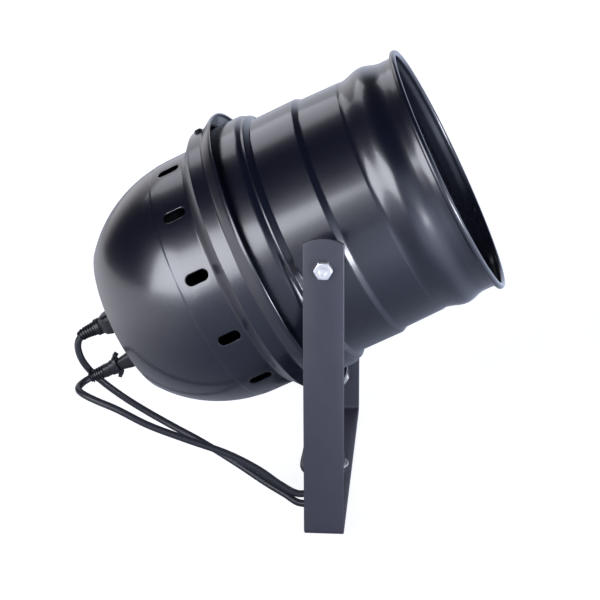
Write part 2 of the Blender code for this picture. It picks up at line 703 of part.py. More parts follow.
def build_shells(can):
    """Front barrel and rear casing, with every hole that goes through them."""
    barrel = turned("front_barrel", barrel_profile(), "black_satin_paint", steps=FACETS,
                    wall=SHELL_WALL, parent=can)
    casing = turned("rear_casing", casing_profile(), "black_satin_paint", steps=FACETS,
                    wall=SHELL_WALL, parent=can)
    bores = rod_mesh("barrel_bores", PIVOT_HOLE, 2 * SKIRT_RADIUS)
    cut(barrel, add("barrel_bores", bores, parent=can, turn=(90, 0, 0)))
    bores = rod_mesh("screw_bores", SCREW_HOLE, 2 * LIP_RADIUS, sides=12)
    tool = add("screw_bores", bores, parent=can, location=in_can(SCREW_PLACE, 0, 0), turn=(0, 90, 0))
    cut(barrel, tool)
    cut(casing, tool)
    cut(casing, add("vents", vents_mesh(), parent=can))

    through = 6 * SHELL_WALL
    size = (INLET_HEIGHT + 2 * SEAT_GAP, INLET_WIDTH + 2 * SEAT_GAP, through)
    cut(casing, add("inlet_opening", box_mesh("inlet_opening", size), parent=can,
                    location=in_can(DISC_PLACE, CONNECTOR_Y, MAINS_RISE)))
    round_hole = rod_mesh("socket_opening", SOCKET_RADIUS + SEAT_GAP, through)
    cut(casing, add("socket_opening", round_hole, parent=can,
                    location=in_can(DISC_PLACE, CONNECTOR_Y, DATA_RISE)))


def build_pivots(can):
    """Bush, bolt, washer and nut on each side; the bolts turn with the can."""
    seat = flat_seat(BODY_INSIDE, PIVOT_WASHER_RADIUS)
    washer_inner = seat - PIVOT_WASHER_THICKNESS
    nut_outer = washer_inner - SEAT_GAP
    bush_inner = BODY_RADIUS + SEAT_GAP
    bush_outer = ARM_INNER - SEAT_GAP
    tilt = 60 - math.degrees(REST_TILT)
    for side, name in ((-1, "near"), (1, "far")):
        turn = (-90 * side, 0, 0)
        turned(f"pivot_bush_{name}", ring_profile(BUSH_RADIUS, PIVOT_HOLE, bush_outer, bush_inner),
               "zinc", closed=True, parent=can, turn=turn)
        turned(f"pivot_washer_{name}", ring_profile(PIVOT_WASHER_RADIUS, PIVOT_HOLE, seat, washer_inner),
               "zinc", closed=True, parent=can, turn=turn)
        hex_bolt(f"pivot_bolt_{name}", ARM_OUTER + SEAT_GAP, PIVOT_HEAD_HEIGHT,
                 nut_outer - PIVOT_NUT_HEIGHT - BOLT_END, side, "zinc", parent=can, turn=tilt)
        hex_nut(f"pivot_nut_{name}", nut_outer, PIVOT_NUT_HEIGHT, side, "zinc", parent=can, turn=tilt)


def pan_screw_profile(head_radius, head_height, shank_radius, shank_length):
    """A pan-head screw, its underside at height 0 and its shank below."""
    return [
        (0, head_height),
        (0.6 * head_radius, 0.9 * head_height),
        (head_radius, 0.45 * head_height),
        (head_radius, 0),
        (shank_radius, 0),
        (shank_radius, -shank_length),
        (0, -shank_length),
    ]


def build_casing_screws(can):
    """Screw, spacer and nut at the top and bottom of the belt."""
    nut_outer = flat_seat(SKIRT_INSIDE, hexagon_radius(SCREW_NUT_FLATS))
    nut_middle = nut_outer - SCREW_NUT_HEIGHT / 2
    head_seat = BELT_RADIUS + SEAT_GAP
    shank = head_seat - nut_outer + SCREW_NUT_HEIGHT + SEAT_GAP
    for side, name in ((1, "top"), (-1, "bottom")):
        place = in_can(SCREW_PLACE, 0, side * head_seat)
        outward = (0, -90 * side, 0)
        profile = pan_screw_profile(SCREW_HEAD_RADIUS, SCREW_HEAD_HEIGHT, SCREW_RADIUS, shank)
        turned(f"casing_screw_{name}", profile, "black_oxide", steps=12, parent=can,
               location=place, turn=outward)
        profile = ring_profile(SPACER_RADIUS, SCREW_HOLE, flat_seat(BELT_INSIDE, SPACER_RADIUS),
                               SKIRT_RADIUS + SEAT_GAP)
        turned(f"casing_spacer_{name}", profile, "zinc", steps=12, closed=True, parent=can,
               location=in_can(SCREW_PLACE, 0, 0), turn=outward)
        mesh = rod_mesh(f"casing_nut_{name}", hexagon_radius(SCREW_NUT_FLATS), SCREW_NUT_HEIGHT, sides=6)
        where = {"parent": can, "location": in_can(SCREW_PLACE, 0, side * nut_middle), "turn": outward}
        nut = add(f"casing_nut_{name}", mesh, "zinc", **where)
        bore = rod_mesh(f"casing_nut_bore_{name}", SCREW_HOLE, 2 * SCREW_NUT_HEIGHT, sides=12)
        cut(nut, add(f"casing_nut_bore_{name}", bore, **where))


def led_places():
    """The middle and two rings of a hexagonal pattern, as (x, y)."""
    places = []
    for row in range(-2, 3):
        count = 5 - abs(row)
        for k in range(count):
            places.append(((k - (count - 1) / 2) * LED_PITCH, row * LED_PITCH * math.sqrt(3) / 2))
    return places


def build_lamp(can):
    """Carrier, retaining ring, LED board, bezel, lens plate and heat sink."""
    carrier_radius = BODY_INSIDE - SEAT_GAP
    mesh = rod_mesh("led_carrier", carrier_radius, CARRIER_THICKNESS, sides=FACETS)
    add("led_carrier", mesh, "aluminium", parent=can,
        location=in_can(CARRIER_FRONT - CARRIER_THICKNESS / 2, 0, 0))

    ring_radius = BODY_INSIDE - SEAT_GAP - RETAINER_WIRE
    ring_place = CARRIER_REAR - SEAT_GAP - RETAINER_WIRE
    points = []
    for k in range(FACETS):
        angle = 2 * math.pi * k / FACETS
        points.append((ring_radius * math.cos(angle), ring_radius * math.sin(angle), ring_place))
    tube("retaining_ring", points, RETAINER_WIRE, "steel", sides_level=1, parent=can)

    seat = CARRIER_FRONT + SEAT_GAP
    mesh = rod_mesh("led_board", BOARD_RADIUS, BOARD_THICKNESS, sides=FACETS)
    board = add("led_board", mesh, "circuit_board", parent=can,
                location=in_can(seat + BOARD_THICKNESS / 2, 0, 0))
    shape = bmesh.new()
    sunk = BOARD_THICKNESS / 2
    for x, y in led_places():
        place = Matrix.Translation((x, y, seat + BOARD_THICKNESS - sunk + (LED_HEIGHT + sunk) / 2))
        bmesh.ops.create_cone(shape, cap_ends=True, segments=8, radius1=LED_ROOT_RADIUS,
                              radius2=LED_RADIUS, depth=LED_HEIGHT + sunk, matrix=place)
    join(board, add("led_lenses", mesh_of("led_lenses", shape), parent=can))

    inner = BEZEL_RADIUS - BEZEL_WALL
    top = seat + BEZEL_HEIGHT
    flange = top - BEZEL_FLANGE
    profile = [(BEZEL_RADIUS, top), (BEZEL_RADIUS, seat), (inner, seat), (inner, flange),
               (inner - BEZEL_LIP, flange), (inner - BEZEL_LIP, top)]
    turned("lens_bezel", profile, "black_plastic", steps=FACETS, closed=True, parent=can)
    mesh = rod_mesh("lens_plate", inner - SEAT_GAP, LENS_THICKNESS, sides=FACETS)
    add("lens_plate", mesh, "clear_lens", parent=can,
        location=in_can(flange - SEAT_GAP - LENS_THICKNESS / 2, 0, 0))

    sink_top = CARRIER_REAR - SEAT_GAP
    half = SINK_SIDE / 2
    outline = [(half, 0), (-half, 0)]
    pitch = (SINK_SIDE - FIN_THICKNESS) / (FIN_COUNT - 1)
    for k in range(FIN_COUNT):
        left = -half + k * pitch
        outline += [
            (left, -SINK_BASE), (left, -SINK_BASE - FIN_HEIGHT),
            (left + FIN_THICKNESS, -SINK_BASE - FIN_HEIGHT), (left + FIN_THICKNESS, -SINK_BASE),
        ]
    outline = [point for i, point in enumerate(outline) if i not in (2, len(outline) - 1)]
    mesh = plate_mesh("heat_sink", [outline], SINK_SIDE)
    add("heat_sink", mesh, "aluminium", parent=can, location=in_can(sink_top, 0, 0), turn=(90, 0, 0))


def build_chassis(can):
    """Bracket, power supply, control board, standoffs and the screws through the end disc."""
    sheet = BRACKET_SHEET
    foot_top = CHASSIS_REAR + sheet
    outline = [
        (BRACKET_Y, CHASSIS_REAR), (BRACKET_Y + BRACKET_FOOT, CHASSIS_REAR),
        (BRACKET_Y + BRACKET_FOOT, foot_top), (BRACKET_Y + sheet, foot_top),
        (BRACKET_Y + sheet, BRACKET_FRONT), (BRACKET_Y, BRACKET_FRONT),
    ]
    mesh = plate_mesh("chassis_bracket", [outline], BRACKET_WIDTH)
    bracket = add("chassis_bracket", mesh, "steel", parent=can, turn=(90, 0, 90))
    casing = bpy.data.objects["rear_casing"]
    for side in (1, -1):
        number = 1 if side == 1 else 2
        place = in_can(FLANGE_FRONT, BRACKET_SCREW_Y, side * BRACKET_SCREW_SPAN / 2)
        hole = rod_mesh(f"bracket_bore_{number}", SCREW_HOLE, 10 * sheet, sides=12)
        tool = add(f"bracket_bore_{number}", hole, parent=can, location=place)
        cut(bracket, tool)
        cut(casing, tool)
        length = SHELL_WALL + 2 * SEAT_GAP + sheet + BOLT_END
        profile = pan_screw_profile(SCREW_HEAD_RADIUS, SCREW_HEAD_HEIGHT, SCREW_RADIUS, length)
        turned(f"bracket_screw_{number}", profile, "black_oxide", steps=12, parent=can,
               location=place, turn=(180, 0, 0))

    size = (SUPPLY_WIDTH, SUPPLY_HEIGHT, SUPPLY_LENGTH)
    y = BRACKET_Y + sheet + SEAT_GAP + SUPPLY_HEIGHT / 2
    add("power_supply", box_mesh("power_supply", size), "aluminium", parent=can,
        location=in_can(SUPPLY_FRONT - SUPPLY_LENGTH / 2, y, 0))

    board_y = BRACKET_Y - 2 * SEAT_GAP - STANDOFF_HEIGHT - CONTROL_THICKNESS / 2
    middle = CONTROL_FRONT - CONTROL_LENGTH / 2
    size = (CONTROL_WIDTH, CONTROL_THICKNESS, CONTROL_LENGTH)
    board = add("control_board", box_mesh("control_board", size), "circuit_board", parent=can,
                location=in_can(middle, board_y, 0))
    for name, size, (x, place) in (
        ("transformer", TRANSFORMER_SIZE, TRANSFORMER_PLACE),
        ("processor", PROCESSOR_SIZE, PROCESSOR_PLACE),
        ("terminal", TERMINAL_SIZE, TERMINAL_PLACE),
    ):
        block = box_mesh(name, size)
        join(board, add(name, block, parent=can, location=(x, board_y - size[1] / 2, middle + place)))

    corner_x = CONTROL_WIDTH / 2 - STANDOFF_INSET
    corner_z = CONTROL_LENGTH / 2 - STANDOFF_INSET
    y = BRACKET_Y - SEAT_GAP - STANDOFF_HEIGHT / 2
    for number, (x, z) in enumerate(((1, 1), (-1, 1), (1, -1), (-1, -1)), start=1):
        name = f"board_standoff_{number}"
        mesh = rod_mesh(name, hexagon_radius(STANDOFF_FLATS), STANDOFF_HEIGHT, sides=6)
        add(name, mesh, "brass", parent=can, location=(x * corner_x, y, middle + z * corner_z),
            turn=(90, 0, 0))


def ribbed_boot(name, start, end, place, parent):
    """A strain relief with a sawtooth of ribs that narrows to its end."""
    length = start - end
    ribs = round(length / RIB_PITCH)
    profile = [(0, start), (BOOT_ROOT_RADIUS, start)]
    for k in range(ribs):
        share = (k + 0.5) / ribs
        radius = BOOT_ROOT_RADIUS + (BOOT_TIP_RADIUS - BOOT_ROOT_RADIUS) * share
        profile.append((radius, start - length * (k + 0.55) / ribs))
        profile.append((radius - BOOT_GROOVE, start - length * (k + 0.8) / ribs))
    profile += [(BOOT_TIP_RADIUS - BOOT_GROOVE / 2, end), (0, end)]
    turned(name, profile, "black_plastic", steps=12, parent=parent, location=place)


def build_mains_connector(can):
    """The panel inlet with its cavity, and the connector whose nose goes in."""
    centre = in_can(0, CONNECTOR_Y, MAINS_RISE)
    flange = (INLET_FLANGE_HEIGHT, INLET_FLANGE_WIDTH, FLANGE_THICKNESS)
    inlet = add("power_inlet", box_mesh("power_inlet", flange), "black_plastic", parent=can,
                location=centre + in_can(FLANGE_FRONT - FLANGE_THICKNESS / 2, 0, 0))
    length = INLET_DEPTH + FLANGE_THICKNESS / 2
    body = (INLET_HEIGHT, INLET_WIDTH, length)
    join(inlet, add("inlet_body", box_mesh("inlet_body", body), parent=can,
                    location=centre + in_can(FLANGE_FRONT - FLANGE_THICKNESS / 2 + length / 2, 0, 0)))
    cavity_size = (INLET_HEIGHT - 2 * INLET_WALL, INLET_WIDTH - 2 * INLET_WALL)
    depth = MAINS_NOSE_LENGTH + 2 * SEAT_GAP
    cavity = (*cavity_size, 2 * depth)
    cut(inlet, add("inlet_cavity", box_mesh("inlet_cavity", cavity), parent=can,
                   location=centre + in_can(FLANGE_REAR, 0, 0)))

    front = FLANGE_REAR - SEAT_GAP
    length = front - MAINS_BODY_END
    shape = box_mesh("power_connector", (MAINS_BODY_HEIGHT, MAINS_BODY_WIDTH, length),
                     (MAINS_BODY_TAPER / MAINS_BODY_HEIGHT, MAINS_BODY_TAPER / MAINS_BODY_WIDTH))
    connector = add("power_connector", shape, "black_plastic", parent=can,
                    location=centre + in_can(front - length / 2, 0, 0))
    bevel = connector.modifiers.new("edges", "BEVEL")
    bevel.width = CONNECTOR_EDGE
    bevel.segments = 2
    nose = (cavity_size[0] - 2 * SEAT_GAP, cavity_size[1] - 2 * SEAT_GAP, MAINS_NOSE_LENGTH + length / 2)
    join(connector, add("mains_nose", box_mesh("mains_nose", nose), parent=can,
                        location=centre + in_can(front + MAINS_NOSE_LENGTH - nose[2] / 2, 0, 0)))
    ring = rod_mesh("mains_ring", MAINS_BODY_TAPER / 2, 2 * MAINS_RING_LENGTH)
    join(connector, add("mains_ring", ring, parent=can, location=centre + in_can(MAINS_BODY_END, 0, 0)))
    boot_start = MAINS_BODY_END - MAINS_RING_LENGTH - SEAT_GAP
    ribbed_boot("power_boot", boot_start, MAINS_BOOT_END, centre, can)


def build_data_connector(can):
    """The panel socket, the connector with its collar, the push latch and the boot."""
    centre = in_can(0, CONNECTOR_Y, DATA_RISE)
    bore = DATA_NOSE_RADIUS + SEAT_GAP
    floor = FLANGE_REAR + DATA_NOSE_LENGTH + SEAT_GAP
    profile = [
        (0, FLANGE_FRONT + SOCKET_DEPTH), (SOCKET_RADIUS, FLANGE_FRONT + SOCKET_DEPTH),
        (SOCKET_RADIUS, FLANGE_FRONT), (SOCKET_FLANGE_RADIUS, FLANGE_FRONT),
        (SOCKET_FLANGE_RADIUS, FLANGE_REAR), (bore, FLANGE_REAR), (bore, floor), (0, floor),
    ]
    turned("data_socket", profile, "black_plastic", parent=can, location=centre)

    front = FLANGE_REAR - SEAT_GAP
    collar_rear = COLLAR_FRONT - COLLAR_LENGTH
    profile = [
        (0, front + DATA_NOSE_LENGTH), (DATA_NOSE_RADIUS, front + DATA_NOSE_LENGTH),
        (DATA_NOSE_RADIUS, front), (DATA_BODY_RADIUS, front), (DATA_BODY_RADIUS, DATA_BODY_END),
        (DATA_WAIST_RADIUS, COLLAR_FRONT), (COLLAR_RADIUS, COLLAR_FRONT),
        (COLLAR_RADIUS, collar_rear), (SLEEVE_RADIUS, collar_rear), (SLEEVE_TIP_RADIUS, SLEEVE_END),
        (0, SLEEVE_END),
    ]
    connector = turned("data_connector", profile, "black_plastic", parent=can, location=centre)
    ribbed_boot("data_boot", SLEEVE_END - SEAT_GAP, DATA_BOOT_END, centre, can)

    stem_place = (LATCH_FRONT + LATCH_REAR) / 2 + SEAT_GAP
    notch_floor = LATCH_RISE - LATCH_TRAVEL - SEAT_GAP
    size = (2 * COLLAR_RADIUS, LATCH_WIDTH + 2 * SEAT_GAP, 3 * COLLAR_LENGTH)
    cut(connector, add("latch_notch", box_mesh("latch_notch", size), parent=can,
                       location=in_can(COLLAR_FRONT - COLLAR_LENGTH / 2, CONNECTOR_Y,
                                       notch_floor + COLLAR_RADIUS)))
    pocket_depth = LATCH_STEM_LENGTH + LATCH_TRAVEL + SEAT_GAP
    size = (2 * pocket_depth, LATCH_STEM + 2 * SEAT_GAP, LATCH_STEM + 2 * SEAT_GAP)
    cut(connector, add("latch_pocket", box_mesh("latch_pocket", size), parent=can,
                       location=in_can(stem_place, CONNECTOR_Y, LATCH_RISE)))

    length = LATCH_FRONT - LATCH_REAR
    size = (LATCH_THICKNESS, LATCH_WIDTH, length)
    latch = add("data_latch", box_mesh("data_latch", size), "black_plastic", parent=can,
                location=in_can(LATCH_FRONT - length / 2, CONNECTOR_Y, LATCH_RISE + LATCH_THICKNESS / 2))
    size = (LATCH_TIP + LATCH_THICKNESS / 2, LATCH_WIDTH - 2 * SEAT_GAP, LATCH_TIP)
    top = LATCH_RISE + LATCH_THICKNESS / 2 + size[0] / 2
    join(latch, add("latch_tip", box_mesh("latch_tip", size), parent=can,
                    location=in_can(LATCH_FRONT - length / 2, CONNECTOR_Y, top)))
    size = (LATCH_STEM_LENGTH + LATCH_THICKNESS / 2, LATCH_STEM, LATCH_STEM)
    low = LATCH_RISE + LATCH_THICKNESS / 2 - size[0] / 2
    join(latch, add("latch_stem", box_mesh("latch_stem", size), parent=can,
                    location=in_can(stem_place, CONNECTOR_Y, low)))


def build_inner_leads(can):
    """The three leads inside the casing, each from face to face."""
    inlet_rear = FLANGE_FRONT + INLET_DEPTH + SEAT_GAP
    socket_rear = FLANGE_FRONT + SOCKET_DEPTH + SEAT_GAP
    bend = LEAD_BEND
    chassis = BRACKET_FRONT
    y = CONNECTOR_Y
    supply_y = BRACKET_Y + SUPPLY_LEAD_Y
    rise = SUPPLY_LEAD_RISE
    supply = [
        (inlet_rear, y, MAINS_RISE), (inlet_rear + bend, y, MAINS_RISE),
        (chassis - 3.5 * bend, y, MAINS_RISE + 0.5 * bend),
        (chassis - bend, y + 0.6 * bend, rise - 0.2 * bend),
        (chassis + bend, y + 2.2 * bend, rise), (chassis + 1.6 * bend, y + 4.2 * bend, rise),
        (chassis + bend, supply_y - 0.5 * bend, rise), (chassis, supply_y, rise),
        (SUPPLY_FRONT + SEAT_GAP, supply_y, rise),
    ]
    control_face = BRACKET_Y - 3 * SEAT_GAP - STANDOFF_HEIGHT - CONTROL_THICKNESS
    rise = SIGNAL_LEAD_RISE
    signal = [
        (socket_rear, y, DATA_RISE), (socket_rear + bend, y, DATA_RISE),
        (chassis - 4 * bend, y + 0.3 * bend, rise), (chassis - 2.6 * bend, y + 1.2 * bend, rise),
        (chassis - 2 * bend, y + 2.5 * bend, rise), (chassis - 1.9 * bend, control_face - 0.6 * bend, rise),
        (chassis - 1.9 * bend, control_face, rise),
    ]
    front = CONTROL_FRONT + SEAT_GAP
    board_y = BRACKET_Y - 2 * SEAT_GAP - STANDOFF_HEIGHT - CONTROL_THICKNESS / 2
    rise = BOARD_LEAD_RISE
    lamp_y = LAMP_LEAD_Y
    lamp_rise = LAMP_LEAD_INSET - BODY_RADIUS
    board = [
        (front, board_y, rise), (front + 1.2 * bend, board_y, rise),
        (chassis + 3 * bend, board_y, rise - 0.8 * bend),
        (chassis + 5 * bend, board_y / 2, rise - 3.5 * bend),
        (CARRIER_REAR - 5 * bend, lamp_y / 2, lamp_rise + 2 * bend),
        (CARRIER_REAR - 3 * bend, lamp_y, lamp_rise + 0.5 * bend),
        (CARRIER_REAR - 1.4 * bend, lamp_y, lamp_rise), (CARRIER_REAR - 0.6 * bend, lamp_y, lamp_rise),
        (CARRIER_REAR - SEAT_GAP, lamp_y, lamp_rise),
    ]
    for name, route in (("supply_lead", supply), ("signal_lead", signal), ("board_lead", board)):
        points = smooth_curve([in_can(*point) for point in route], INNER_LEAD_STEP)
        tube(name, points, INNER_LEAD_RADIUS, "black_cable", sides_level=1, parent=can)


def coil_points(centre):
    """A flat coil in two layers: in along the bottom, up at the turning point, out on top."""
    total = COIL_TURNS * 2 * math.pi
    points = [(centre[0] + COIL_OUTER, centre[1] - COIL_ENTRY, COIL_BOTTOM)]
    steps = round(COIL_TURNS * LOOP_POINTS)
    for angle in np.linspace(0, total, steps + 1):
        from_middle = angle - total / 2
        radius = COIL_INNER + abs(from_middle) / (2 * math.pi) * COIL_PITCH
        climb = min(max(from_middle / math.pi + 0.5, 0), 1)
        height = COIL_BOTTOM + COIL_LAYER * (1 - math.cos(math.pi * climb)) / 2
        points.append((centre[0] + radius * math.cos(angle), centre[1] + radius * math.sin(angle), height))
    points.append((centre[0] - COIL_EXIT, centre[1] + COIL_OUTER, COIL_BOTTOM + COIL_LAYER))
    return points


def least_gap(points, apart):
    """The smallest gap between turns, measured on points at least so many points apart."""
    places = np.array(points)
    distance = np.linalg.norm(places[:, None] - places[None], axis=2)
    index = np.arange(len(places))
    near = np.abs(index[:, None] - index[None]) < apart
    distance[near] = np.inf
    return distance.min() - 2 * CORD_RADIUS


def build_coil(name, centre):
    """The coil and the strap that holds it."""
    points = coil_points(centre)
    tube(f"{name}_coil", points, CORD_RADIUS, "black_cable", sides_level=1)
    gap = least_gap(points, LOOP_POINTS // 2)
    print(f"{name}_coil: least gap to itself {gap * 1000:.2f} mm")
    inner = COIL_INNER - CORD_RADIUS - SEAT_GAP
    outer = COIL_OUTER + CORD_RADIUS + SEAT_GAP
    width = outer - inner
    height = COIL_LAYER + 2 * CORD_RADIUS + 2 * SEAT_GAP
    outlines = []
    for grow, corner in ((TIE_THICKNESS, TIE_CORNER), (0, TIE_CORNER - TIE_THICKNESS)):
        x = width / 2 + grow - corner
        y = height / 2 + grow - corner
        outline = []
        for start, (cx, cy) in zip((0, 90, 180, 270), ((x, y), (-x, y), (-x, -y), (x, -y))):
            outline += arc((cx, cy), corner, start, start + 90, 3)
        outlines.append(outline)
    mesh = plate_mesh(f"{name}_tie", outlines, TIE_WIDTH)
    middle = COIL_BOTTOM + COIL_LAYER / 2
    add(f"{name}_tie", mesh, "black_plastic", turn=(90, 0, 0),
        location=(centre[0] - (inner + outer) / 2, centre[1], middle))


def cord_points(leaves, heading, route, coil_centre):
    """Even points on the route, with a short straight at the boot and at the coil."""
    start = coil_points(coil_centre)[0]
    last = Vector((start[0], start[1] - SEAT_GAP, start[2]))
    out = leaves + heading * CORD_STRAIGHT
    before = last - Vector((0, CORD_STRAIGHT, 0))
    knots = [tuple(point) for point in (leaves, out, *route, before, last)]
    points = smooth_curve(knots, CORD_STEP)
    return [points[0], tuple(out), *points[1:-1], tuple(before), points[-1]]


def build_cords(can):
    """Both free cords, from the boots' ends along their routes to their coils."""
    for name, boot_end, rise, route, centre in (
        ("mains", MAINS_BOOT_END, MAINS_RISE, MAINS_ROUTE, MAINS_COIL_CENTRE),
        ("data", DATA_BOOT_END, DATA_RISE, DATA_ROUTE, DATA_COIL_CENTRE),
    ):
        leaves = can.matrix_world @ in_can(boot_end - SEAT_GAP, CONNECTOR_Y, rise)
        heading = can.matrix_world.to_3x3() @ in_can(-1, 0, 0)
        points = cord_points(leaves, heading, route, centre)
        tube(f"{name}_cord", points, CORD_RADIUS, "black_cable")
        build_coil(name, centre)


def plug_frame(name, coil_centre):
    """An empty at the coil's end, with its Z along the cord."""
    end = coil_points(coil_centre)[-1]
    return empty(name, (end[0] - SEAT_GAP, end[1], end[2]), turn=(0, -90, 0))


def build_mains_plug():
    """A moulded two-pin plug at the end of the mains coil."""
    frame = plug_frame("mains_plug_frame", MAINS_COIL_CENTRE)
    size = (PLUG_HEIGHT, PLUG_WIDTH, PLUG_LENGTH)
    shape = box_mesh("mains_plug", size, (PLUG_TAPER, PLUG_TAPER))
    plug = add("mains_plug", shape, "black_plastic", parent=frame,
               location=(0, 0, PLUG_RELIEF_LENGTH + PLUG_LENGTH / 2))
    bevel = plug.modifiers.new("edges", "BEVEL")
    bevel.width = PLUG_EDGE
    bevel.segments = 2
    length = PLUG_RELIEF_LENGTH + PLUG_RELIEF_SUNK
    relief = rod_mesh("plug_relief", 0.75 * PLUG_RELIEF_RADIUS, length, front_radius=PLUG_RELIEF_RADIUS)
    join(plug, add("plug_relief", relief, parent=frame, location=(0, 0, length / 2)))
    end = PLUG_RELIEF_LENGTH + PLUG_LENGTH
    for side in (-1, 1):
        pin = rod_mesh(f"plug_pin_{side + 1}", PIN_RADIUS, PIN_LENGTH + PIN_SUNK, sides=10)
        join(plug, add(f"plug_pin_{side + 1}", pin, parent=frame,
                       location=(0, side * PIN_SPAN / 2, end + (PIN_LENGTH - PIN_SUNK) / 2)))


def build_data_plug():
    """A round three-pin connector at the end of the data coil."""
    frame = plug_frame("data_plug_frame", DATA_COIL_CENTRE)
    end = PLUG_RELIEF_LENGTH + DATA_PLUG_LENGTH
    floor = end - DATA_PLUG_RECESS
    bore = DATA_PLUG_RADIUS - DATA_PLUG_WALL
    barrel = DATA_PLUG_RADIUS - DATA_PLUG_STEP
    grip_front = PLUG_RELIEF_LENGTH + DATA_GRIP_LENGTH
    profile = [
        (0, floor), (bore, floor), (bore, end), (barrel, end), (barrel, grip_front),
        (DATA_PLUG_RADIUS, grip_front - DATA_PLUG_STEP / 2),
        (DATA_PLUG_RADIUS, PLUG_RELIEF_LENGTH + 2 * DATA_PLUG_STEP),
        (barrel - DATA_PLUG_STEP, PLUG_RELIEF_LENGTH), (PLUG_RELIEF_RADIUS, PLUG_RELIEF_LENGTH),
        (0.75 * PLUG_RELIEF_RADIUS, 0), (0, 0),
    ]
    plug = turned("data_plug", profile, "black_plastic", parent=frame)
    for k in range(3):
        angle = math.radians(90 + 120 * k)
        pin = rod_mesh(f"data_pin_{k}", DATA_PIN_RADIUS, DATA_PIN_LENGTH + DATA_PIN_SUNK, sides=8)
        reach = bore / 2
        join(plug, add(f"data_pin_{k}", pin, parent=frame,
                       location=(reach * math.cos(angle), reach * math.sin(angle),
                                 floor + (DATA_PIN_LENGTH - DATA_PIN_SUNK) / 2)))


def main():
    clear_scene()
    can = empty("can_pivot", (0, 0, PIVOT_HEIGHT), turn=(0, 90 - math.degrees(REST_TILT), 0))
    bpy.context.view_layer.update()
    build_yoke()
    build_clamp_nut()
    build_arm_bolt()
    build_shells(can)
    build_pivots(can)
    build_casing_screws(can)
    build_lamp(can)
    build_chassis(can)
    build_mains_connector(can)
    build_data_connector(can)
    build_inner_leads(can)
    build_cords(can)
    build_mains_plug()
    build_data_plug()
    bpy.context.view_layer.update()


main()
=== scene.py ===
# %% [markdown]
# A par can is a spun steel lamp can that tilts in a flat-bar yoke. The working model of this one,
# with every bolt at its real size, is made elsewhere and loads here as a fixed frame. This lesson
# gives it its looks: fine spun shells in satin paint, folded and painted bar, zinc hardware,
# moulded connectors and two leads. New pieces take the place of the plain ones, and each rides on
# the body that it belongs to.

# %% Load the frame
import math

import bmesh
import bpy
import numpy as np
from mathutils import Matrix, Vector


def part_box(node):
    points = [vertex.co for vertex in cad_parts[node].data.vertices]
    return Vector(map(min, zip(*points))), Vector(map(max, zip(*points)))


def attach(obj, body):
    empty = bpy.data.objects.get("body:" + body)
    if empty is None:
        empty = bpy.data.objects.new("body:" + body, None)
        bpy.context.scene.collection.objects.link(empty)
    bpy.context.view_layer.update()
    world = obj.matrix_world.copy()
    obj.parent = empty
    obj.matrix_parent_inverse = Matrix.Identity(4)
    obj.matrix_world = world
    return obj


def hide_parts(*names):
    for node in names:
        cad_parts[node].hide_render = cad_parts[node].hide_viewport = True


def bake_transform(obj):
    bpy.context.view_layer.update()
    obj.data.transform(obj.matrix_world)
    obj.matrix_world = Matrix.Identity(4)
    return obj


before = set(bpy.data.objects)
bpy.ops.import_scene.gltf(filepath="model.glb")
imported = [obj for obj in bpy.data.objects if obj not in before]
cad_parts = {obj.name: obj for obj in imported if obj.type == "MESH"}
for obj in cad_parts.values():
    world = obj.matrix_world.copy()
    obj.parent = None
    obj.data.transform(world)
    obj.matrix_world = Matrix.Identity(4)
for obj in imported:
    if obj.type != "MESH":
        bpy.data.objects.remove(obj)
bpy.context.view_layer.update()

# %% [markdown]
# The camera stands where the photograph was taken from: a little to the beam's side of square on
# to the yoke, and looking down by 18 degrees, through a long lens. Its place is given round the
# tilt pivot, as a distance and two angles, with how far the pivot lies off the picture's middle.

# %% The camera
PIVOT = Vector((0, 0, 0.2245))
VIEW_AZIMUTH = math.radians(4.845)
VIEW_ELEVATION = math.radians(18.296)
VIEW_ROLL = math.radians(-0.36)
VIEW_DISTANCE = 1.3178
PIVOT_ASIDE = 0.0288
PIVOT_ABOVE = 0.0650
SENSOR = 36.0
LENS = 93.98


def view_axes(azimuth, elevation, roll):
    """Right, up and back of a camera that looks at the pivot."""
    back = Vector((math.sin(azimuth) * math.cos(elevation),
                   -math.cos(azimuth) * math.cos(elevation), math.sin(elevation)))
    right = Vector((math.cos(azimuth), math.sin(azimuth), 0))
    up = back.cross(right)
    turned = Matrix.Rotation(roll, 3, back)
    return turned @ right, turned @ up, back


def place_camera():
    """A camera with a plain lens and no depth of field."""
    right, up, back = view_axes(VIEW_AZIMUTH, VIEW_ELEVATION, VIEW_ROLL)
    data = bpy.data.cameras.new("camera")
    data.sensor_width = SENSOR
    data.lens = LENS
    camera = bpy.data.objects.new("camera", data)
    turned = Matrix((right, up, back)).transposed()
    camera.matrix_world = turned.to_4x4()
    camera.location = PIVOT + back * VIEW_DISTANCE - right * PIVOT_ASIDE - up * PIVOT_ABOVE
    bpy.context.scene.collection.objects.link(camera)
    bpy.context.scene.camera = camera
    return camera


camera = place_camera()
print("camera at", [round(value, 3) for value in camera.location])

# %% [markdown]
# A few helpers make every piece. A profile is turned with the spin operator, corners are rounded
# by points on a curve that starts a little before each corner, and a finished bmesh becomes an
# object that rides on its body and stands for the plain nodes.

# %% Helpers for shapes
REST_TILT = math.radians(26.6)
CAN = Matrix.Translation(PIVOT) @ Matrix.Rotation(math.pi / 2 - REST_TILT, 4, "Y")
CAN_TURN = CAN.to_3x3().to_4x4()
SHARP = 35.0
MERGE = 0.000001


def in_can(place, y, rise):
    """A point of the can's own frame: along the beam, along the pivots, and square to both."""
    return CAN @ Vector((-rise, y, place))


